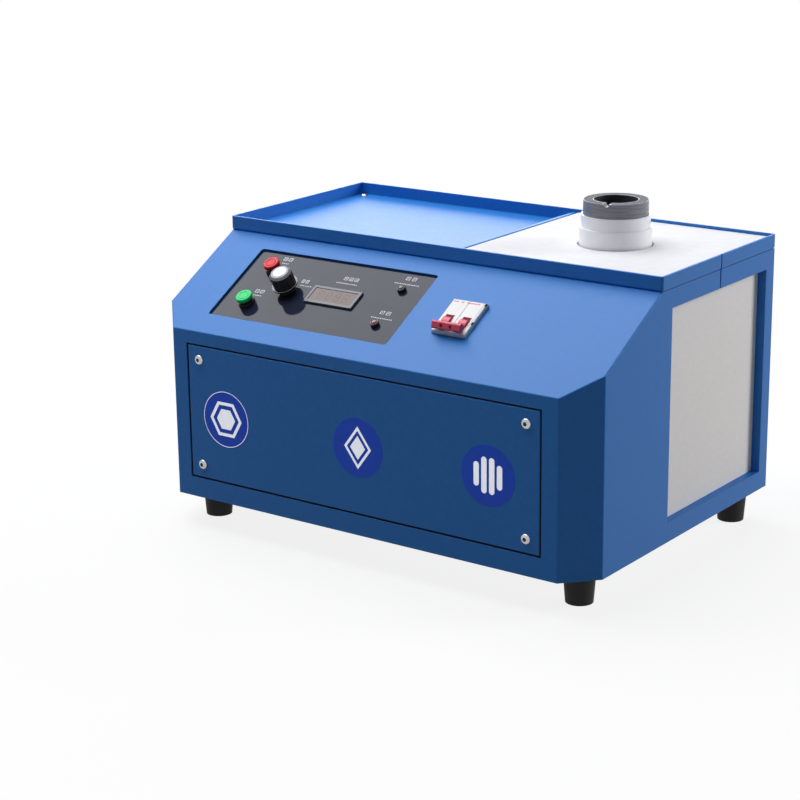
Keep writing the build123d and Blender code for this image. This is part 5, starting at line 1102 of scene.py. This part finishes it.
@dataclass(frozen=True)
class PhotoCamera:
    """The camera that took the photograph, solved from the cabinet's straight edges."""

    azimuth: float = math.radians(36.42)
    elevation: float = math.radians(16.41)
    roll: float = -0.0122681
    lens: float = 96.27
    sensor: float = 36.0
    distance: float = 2.0215
    shift_right: float = 0.05715
    shift_up: float = 0.04044
    aim: tuple[float, float, float] = (0.0, -0.0127, 0.1616)

    def build(self) -> None:
        """Places the camera and makes it the scene's."""
        sin_a, cos_a = math.sin(self.azimuth), math.cos(self.azimuth)
        sin_e, cos_e = math.sin(self.elevation), math.cos(self.elevation)
        back = Vector((sin_a * cos_e, -cos_a * cos_e, sin_e))
        flat_right = Vector((cos_a, sin_a, 0))
        flat_up = back.cross(flat_right)
        right = flat_right * math.cos(self.roll) + flat_up * math.sin(self.roll)
        up = flat_up * math.cos(self.roll) - flat_right * math.sin(self.roll)
        place = Matrix((right, up, back)).transposed().to_4x4()
        place.translation = (
            Vector(self.aim) - right * self.shift_right - up * self.shift_up + back * self.distance
        )
        data = bpy.data.cameras.new("photo_camera")
        data.lens = self.lens
        data.sensor_width = self.sensor
        data.clip_end = 50
        camera = bpy.data.objects.new("photo_camera", data)
        camera.matrix_world = place
        bpy.context.scene.collection.objects.link(camera)
        bpy.context.scene.camera = camera
        LOG.info("camera stands %.3f m away", self.distance)


@dataclass(frozen=True)
class SoftLamp:
    """A square lamp that looks at the machine's middle.

    Attributes:
        name: the lamp's name.
        place: where it hangs, in metres.
        size: side of its square, in metres.
        power: watts.
    """

    name: str
    place: tuple[float, float, float]
    size: float
    power: float

    def build(self, aim: Vector) -> None:
        """Hangs the lamp."""
        data = bpy.data.lights.new(self.name, "AREA")
        data.size = self.size
        data.energy = self.power
        lamp = bpy.data.objects.new(self.name, data)
        lamp.location = self.place
        lamp.rotation_euler = (aim - Vector(self.place)).to_track_quat("-Z", "Y").to_euler()
        lamp.visible_camera = False
        bpy.context.scene.collection.objects.link(lamp)


@dataclass
class Studio:
    """Pale floor, white surroundings and soft lamps."""

    floor_size: float = 12.0
    floor_colour: Colour = srgb(140, 140, 142)
    seen_floor_colour: Colour = srgb(236, 236, 238)
    floor_white: float = 0.84
    shadow_reach: Point2 = (0.3, 1.0)
    world_light: float = 0.07
    lamps: tuple[SoftLamp, ...] = (
        SoftLamp("top_lamp", (-0.75, 0.0, 2.0), 2.1, 59.0),
        SoftLamp("right_lamp", (1.9, 1.7, 1.0), 1.0, 36.0),
        SoftLamp("back_lamp", (-1.7, 2.3, 1.1), 1.3, 17.0),
    )

    def build(self) -> None:
        """Builds the floor, the world and the lamps."""
        self._floor()
        self._world()
        for lamp in self.lamps:
            lamp.build(Vector((0, 0, 0.16)))
        bpy.context.scene.view_settings.view_transform = "Standard"
        LOG.info("studio has %d lamps", len(self.lamps))

    def _white_where_seen(
        self, tree: bpy.types.NodeTree, lit: bpy.types.NodeSocket, out: bpy.types.NodeSocket, white: bpy.types.NodeSocket
    ) -> None:
        """Puts a white shader where the camera looks, straight, by a mirror or through glass.

        Args:
            tree: the node tree.
            lit: the shader that other rays see.
            out: the output's socket.
            white: the shader that gives the white.
        """
        path = tree.nodes.new("ShaderNodeLightPath")
        seen = path.outputs["Is Camera Ray"]
        for ray in ("Is Glossy Ray", "Is Transmission Ray"):
            either = tree.nodes.new("ShaderNodeMath")
            either.operation = "MAXIMUM"
            tree.links.new(seen, either.inputs[0])
            tree.links.new(path.outputs[ray], either.inputs[1])
            seen = either.outputs[0]
        tree.links.new(self._mixed(tree, seen, lit, white), out)

    def _mixed(
        self, tree: bpy.types.NodeTree, share: bpy.types.NodeSocket, first: bpy.types.NodeSocket, second: bpy.types.NodeSocket
    ) -> bpy.types.NodeSocket:
        """Mixes the second shader into the first.

        Args:
            tree: the node tree.
            share: how much of the second there is, 0 to 1.
            first: the first shader.
            second: the second shader.

        Returns:
            The mixed shader.
        """
        mix = tree.nodes.new("ShaderNodeMixShader")
        tree.links.new(share, mix.inputs["Fac"])
        tree.links.new(first, mix.inputs[1])
        tree.links.new(second, mix.inputs[2])
        return mix.outputs[0]

    def _shadowed_white(self, tree: bpy.types.NodeTree) -> bpy.types.NodeSocket:
        """White that lets some of the machine's shadow show close to the machine.

        Args:
            tree: the floor's node tree.

        Returns:
            The shader.
        """
        reach = tree.nodes.new("ShaderNodeVectorMath")
        reach.operation = "LENGTH"
        tree.links.new(tree.nodes.new("ShaderNodeTexCoord").outputs["Object"], reach.inputs[0])
        share = tree.nodes.new("ShaderNodeMapRange")
        share.interpolation_type = "SMOOTHSTEP"
        share.inputs["From Min"].default_value, share.inputs["From Max"].default_value = self.shadow_reach
        share.inputs["To Min"].default_value = self.floor_white
        tree.links.new(reach.outputs["Value"], share.inputs["Value"])
        pale = tree.nodes.new("ShaderNodeBsdfDiffuse")
        pale.inputs["Color"].default_value = (*self.seen_floor_colour, 1)
        white = tree.nodes.new("ShaderNodeEmission")
        return self._mixed(tree, share.outputs["Result"], pale.outputs[0], white.outputs[0])

    def _floor(self) -> None:
        """A wide pale floor that fades into the white surroundings but keeps the shadow."""
        mesh = bmesh.new()
        half = self.floor_size / 2
        corners = [mesh.verts.new((x * half, y * half, 0)) for x, y in ((-1, -1), (1, -1), (1, 1), (-1, 1))]
        mesh.faces.new(corners)
        data = bpy.data.meshes.new("floor")
        mesh.to_mesh(data)
        mesh.free()
        floor = bpy.data.objects.new("floor", data)
        bpy.context.scene.collection.objects.link(floor)
        material = bpy.data.materials.new("pale_floor")
        material.use_nodes = True
        tree = material.node_tree
        shader = tree.nodes["Principled BSDF"]
        shader.inputs["Base Color"].default_value = (*self.floor_colour, 1)
        shader.inputs["Roughness"].default_value = 0.9
        shader.inputs["Specular IOR Level"].default_value = 0.0
        out = tree.nodes["Material Output"].inputs["Surface"]
        self._white_where_seen(tree, shader.outputs[0], out, self._shadowed_white(tree))
        data.materials.append(material)

    def _world(self) -> None:
        """White surroundings that light the machine evenly."""
        world = bpy.data.worlds.new("studio_world")
        bpy.context.scene.world = world
        world.use_nodes = True
        tree = world.node_tree
        light = tree.nodes["Background"]
        light.inputs["Color"].default_value = (0.96, 0.98, 1.0, 1)
        light.inputs["Strength"].default_value = self.world_light
        white = tree.nodes.new("ShaderNodeBackground")
        white.inputs["Color"].default_value = (1, 1, 1, 1)
        out = tree.nodes["World Output"].inputs["Surface"]
        self._white_where_seen(tree, light.outputs[0], out, white.outputs[0])


def dress_nodes(finishes: dict[Finish, tuple[str, ...]]) -> None:
    """Gives every fixed piece its finish.

    Args:
        finishes: the pieces that each finish goes on.
    """
    for finish, names in finishes.items():
        for name in names:
            data = frame["nodes"][name].data
            data.materials.clear()
            data.materials.append(finish.material())
            LOG.info("%s is dressed in %s", name, finish.name)


def main() -> None:
    """Builds the studio, dresses the fixed pieces and adds the fine ones."""
    logging.basicConfig(level=logging.INFO, format="%(name)s: %(message)s")
    PhotoCamera().build()
    Studio().build()
    dress_nodes(NODE_FINISHES)
    for assembly in (Cabinet(), Controls(), Breaker(), Furnace(), RearFittings()):
        assembly.build()


if __name__ == "__main__":
    main()
